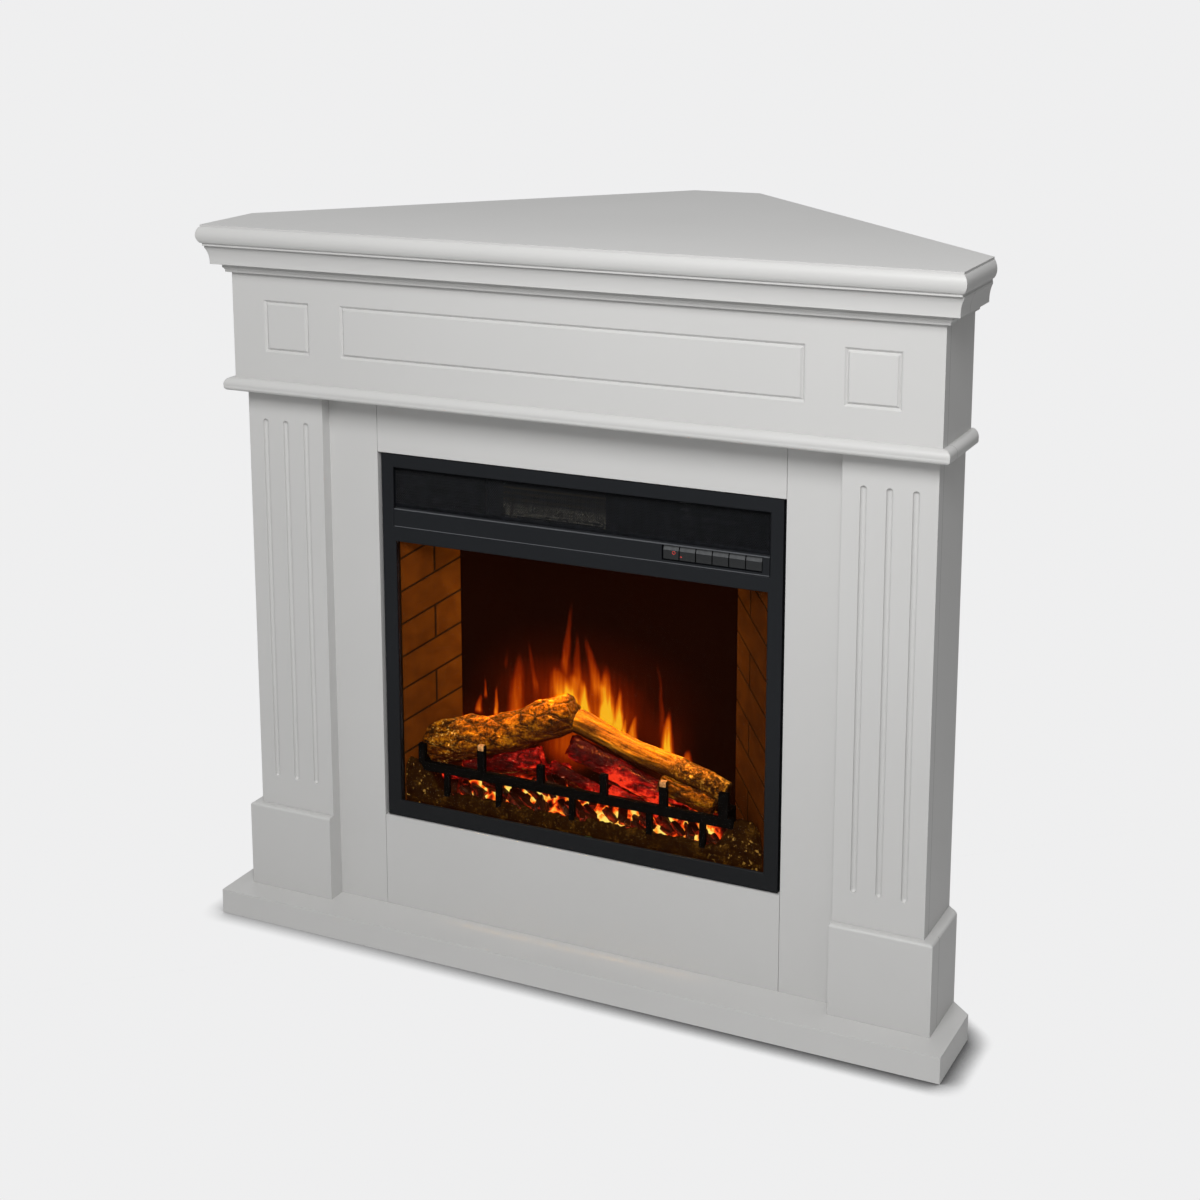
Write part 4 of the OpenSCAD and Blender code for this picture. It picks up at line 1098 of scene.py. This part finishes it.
def make_gap_seals(material):
    """Foam cords that close the gaps beside the fire's front frame."""
    low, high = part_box("trim_frame")
    for side, name in ((-1, "gap_seal_left"), (1, "gap_seal_right")):
        middle = Vector((side * (high[0] + 2 * MM), low[1] + 10 * MM, (low[2] + high[2]) / 2))
        piece = begin("cylinder", name, vertices=16, radius=2.1 * MM, depth=high[2] - low[2],
                      location=middle)
        pick(piece, "EDGE", lambda edge: abs(edge.verts[1].co.z - edge.verts[0].co.z) > 0.1)
        bpy.ops.mesh.subdivide(number_cuts=90)
        roughen(piece, "CLOUDS", 0.02, 0.5 * MM)
        settle(piece, material, slot="black_rubber", smooth=60)


# ---------- stage ----------

FLOOR_SIZE = 120
FLOOR_TONE = 0.66
SHADE_REACH = 0.034
BACKDROP = (0.862, 0.862, 0.866)
KEY_WATTS = 50
FIRE_WATTS = 0.42
# The sky: its level, how much less comes from the low right, how much more from behind, and
# how much more shiny surfaces see.
SKY = 0.32
RIGHT_LESS = 0.20
REAR_MORE = 0.20
SHINE_MORE = 0.12


def lay_floor():
    """A pale floor that keeps only the darkness close to the base, as a painted contact shadow:
    ambient occlusion darkens its colour, more deeply towards the right.
    """
    bpy.ops.mesh.primitive_plane_add(size=FLOOR_SIZE)
    floor = bpy.context.object
    floor.name = "floor"
    material = bpy.data.materials.new("floor")
    material.use_nodes = True
    tree = material.node_tree
    tree.nodes.clear()
    seen = node(tree, "ShaderNodeLightPath", output="Is Camera Ray")
    x = parts(tree, node(tree, "ShaderNodeTexCoord", output="Object"))[0]
    nearby = node(tree, "ShaderNodeAmbientOcclusion", {"samples": 8},
                  {"Distance": SHADE_REACH}, "AO")
    # Painted shadow: deeper towards the right.
    shade = nearby ** (1.3 + 2.2 * x.step(-0.5, 0.5))
    matt = node(tree, "ShaderNodeBsdfDiffuse", {}, {"Color": (FLOOR_TONE,) * 3})
    tint = mixed(tree, shade, BLACK, BACKDROP)
    lit = node(tree, "ShaderNodeEmission", {}, {"Color": tint, "Strength": 1.0})
    both = node(tree, "ShaderNodeMixShader", {}, [seen, matt, lit])
    out = tree.nodes.new("ShaderNodeOutputMaterial")
    tree.links.new(both.socket, out.inputs["Surface"])
    floor.data.materials.append(material)


def add_lamp(name, kind, at, aim, power, colour=(1, 1, 1), **settings):
    """A lamp at a place, turned towards another."""
    data = bpy.data.lights.new(name, kind)
    data.energy = power
    data.color = colour
    for setting, value in settings.items():
        setattr(data, setting, value)
    lamp = bpy.data.objects.new(name, data)
    lamp.location = at
    lamp.rotation_euler = (Vector(at) - Vector(aim)).to_track_quat("Z", "Y").to_euler()
    bpy.context.collection.objects.link(lamp)


def set_light():
    """A soft key above the front, a weak sky, and the fire's own light inside the box."""
    add_lamp("key_light", "AREA", (0.62, -2.05, 2.20), (0, -0.1, 0.6), KEY_WATTS, size=1.0)
    add_lamp("fire_light", "AREA", place(0, 107, 565), place(0, 122, 250), FIRE_WATTS, AMBER,
             shape="RECTANGLE", size=0.36, size_y=0.015, spread=math.radians(18))
    world = bpy.data.worlds.new("sky")
    world.use_nodes = True
    bpy.context.scene.world = world
    tree = world.node_tree
    seen = node(tree, "ShaderNodeLightPath", output="Is Camera Ray")
    shiny = node(tree, "ShaderNodeLightPath", output="Is Glossy Ray")
    x, y, z = parts(tree, node(tree, "ShaderNodeTexCoord", output="Generated"))
    ambient = SKY - RIGHT_LESS * x.step(-0.1, 0.7) * (1 - z.step(0.3, 0.9))
    ambient = ambient + REAR_MORE * y.step(0.3, 0.8) + SHINE_MORE * shiny
    back = tree.nodes["Background"]
    feed(tree, back.inputs["Color"], (1.0, 1.0, 1.0))
    feed(tree, back.inputs["Strength"], ambient * (1 - seen) + BACKDROP[0] * seen)


bpy.ops.object.select_all(action="DESELECT")
set_camera()
lay_floor()
set_light()
finishes = dress_nodes()
make_left_log(finishes["log_resin"])
make_right_log(smooth_wood())
# The stump's bark is a darker copy: painted shade.
make_charred_logs(charred_wood(), bark("stump_bark_painted_shade", 0.55))
make_ember_bed(finishes["ember_resin"])
make_chips(burnt_chip())
make_post_tips(painted_post_glow())
make_weave(finishes["black_mesh"])
make_end_plate(finishes["motor_black"])
make_gap_seals(finishes["black_rubber"])
make_key_lamps(lamp_red())
make_terminal(bright_foil("heater_tag", 0.85))

bpy.context.scene.view_settings.view_transform = "Standard"
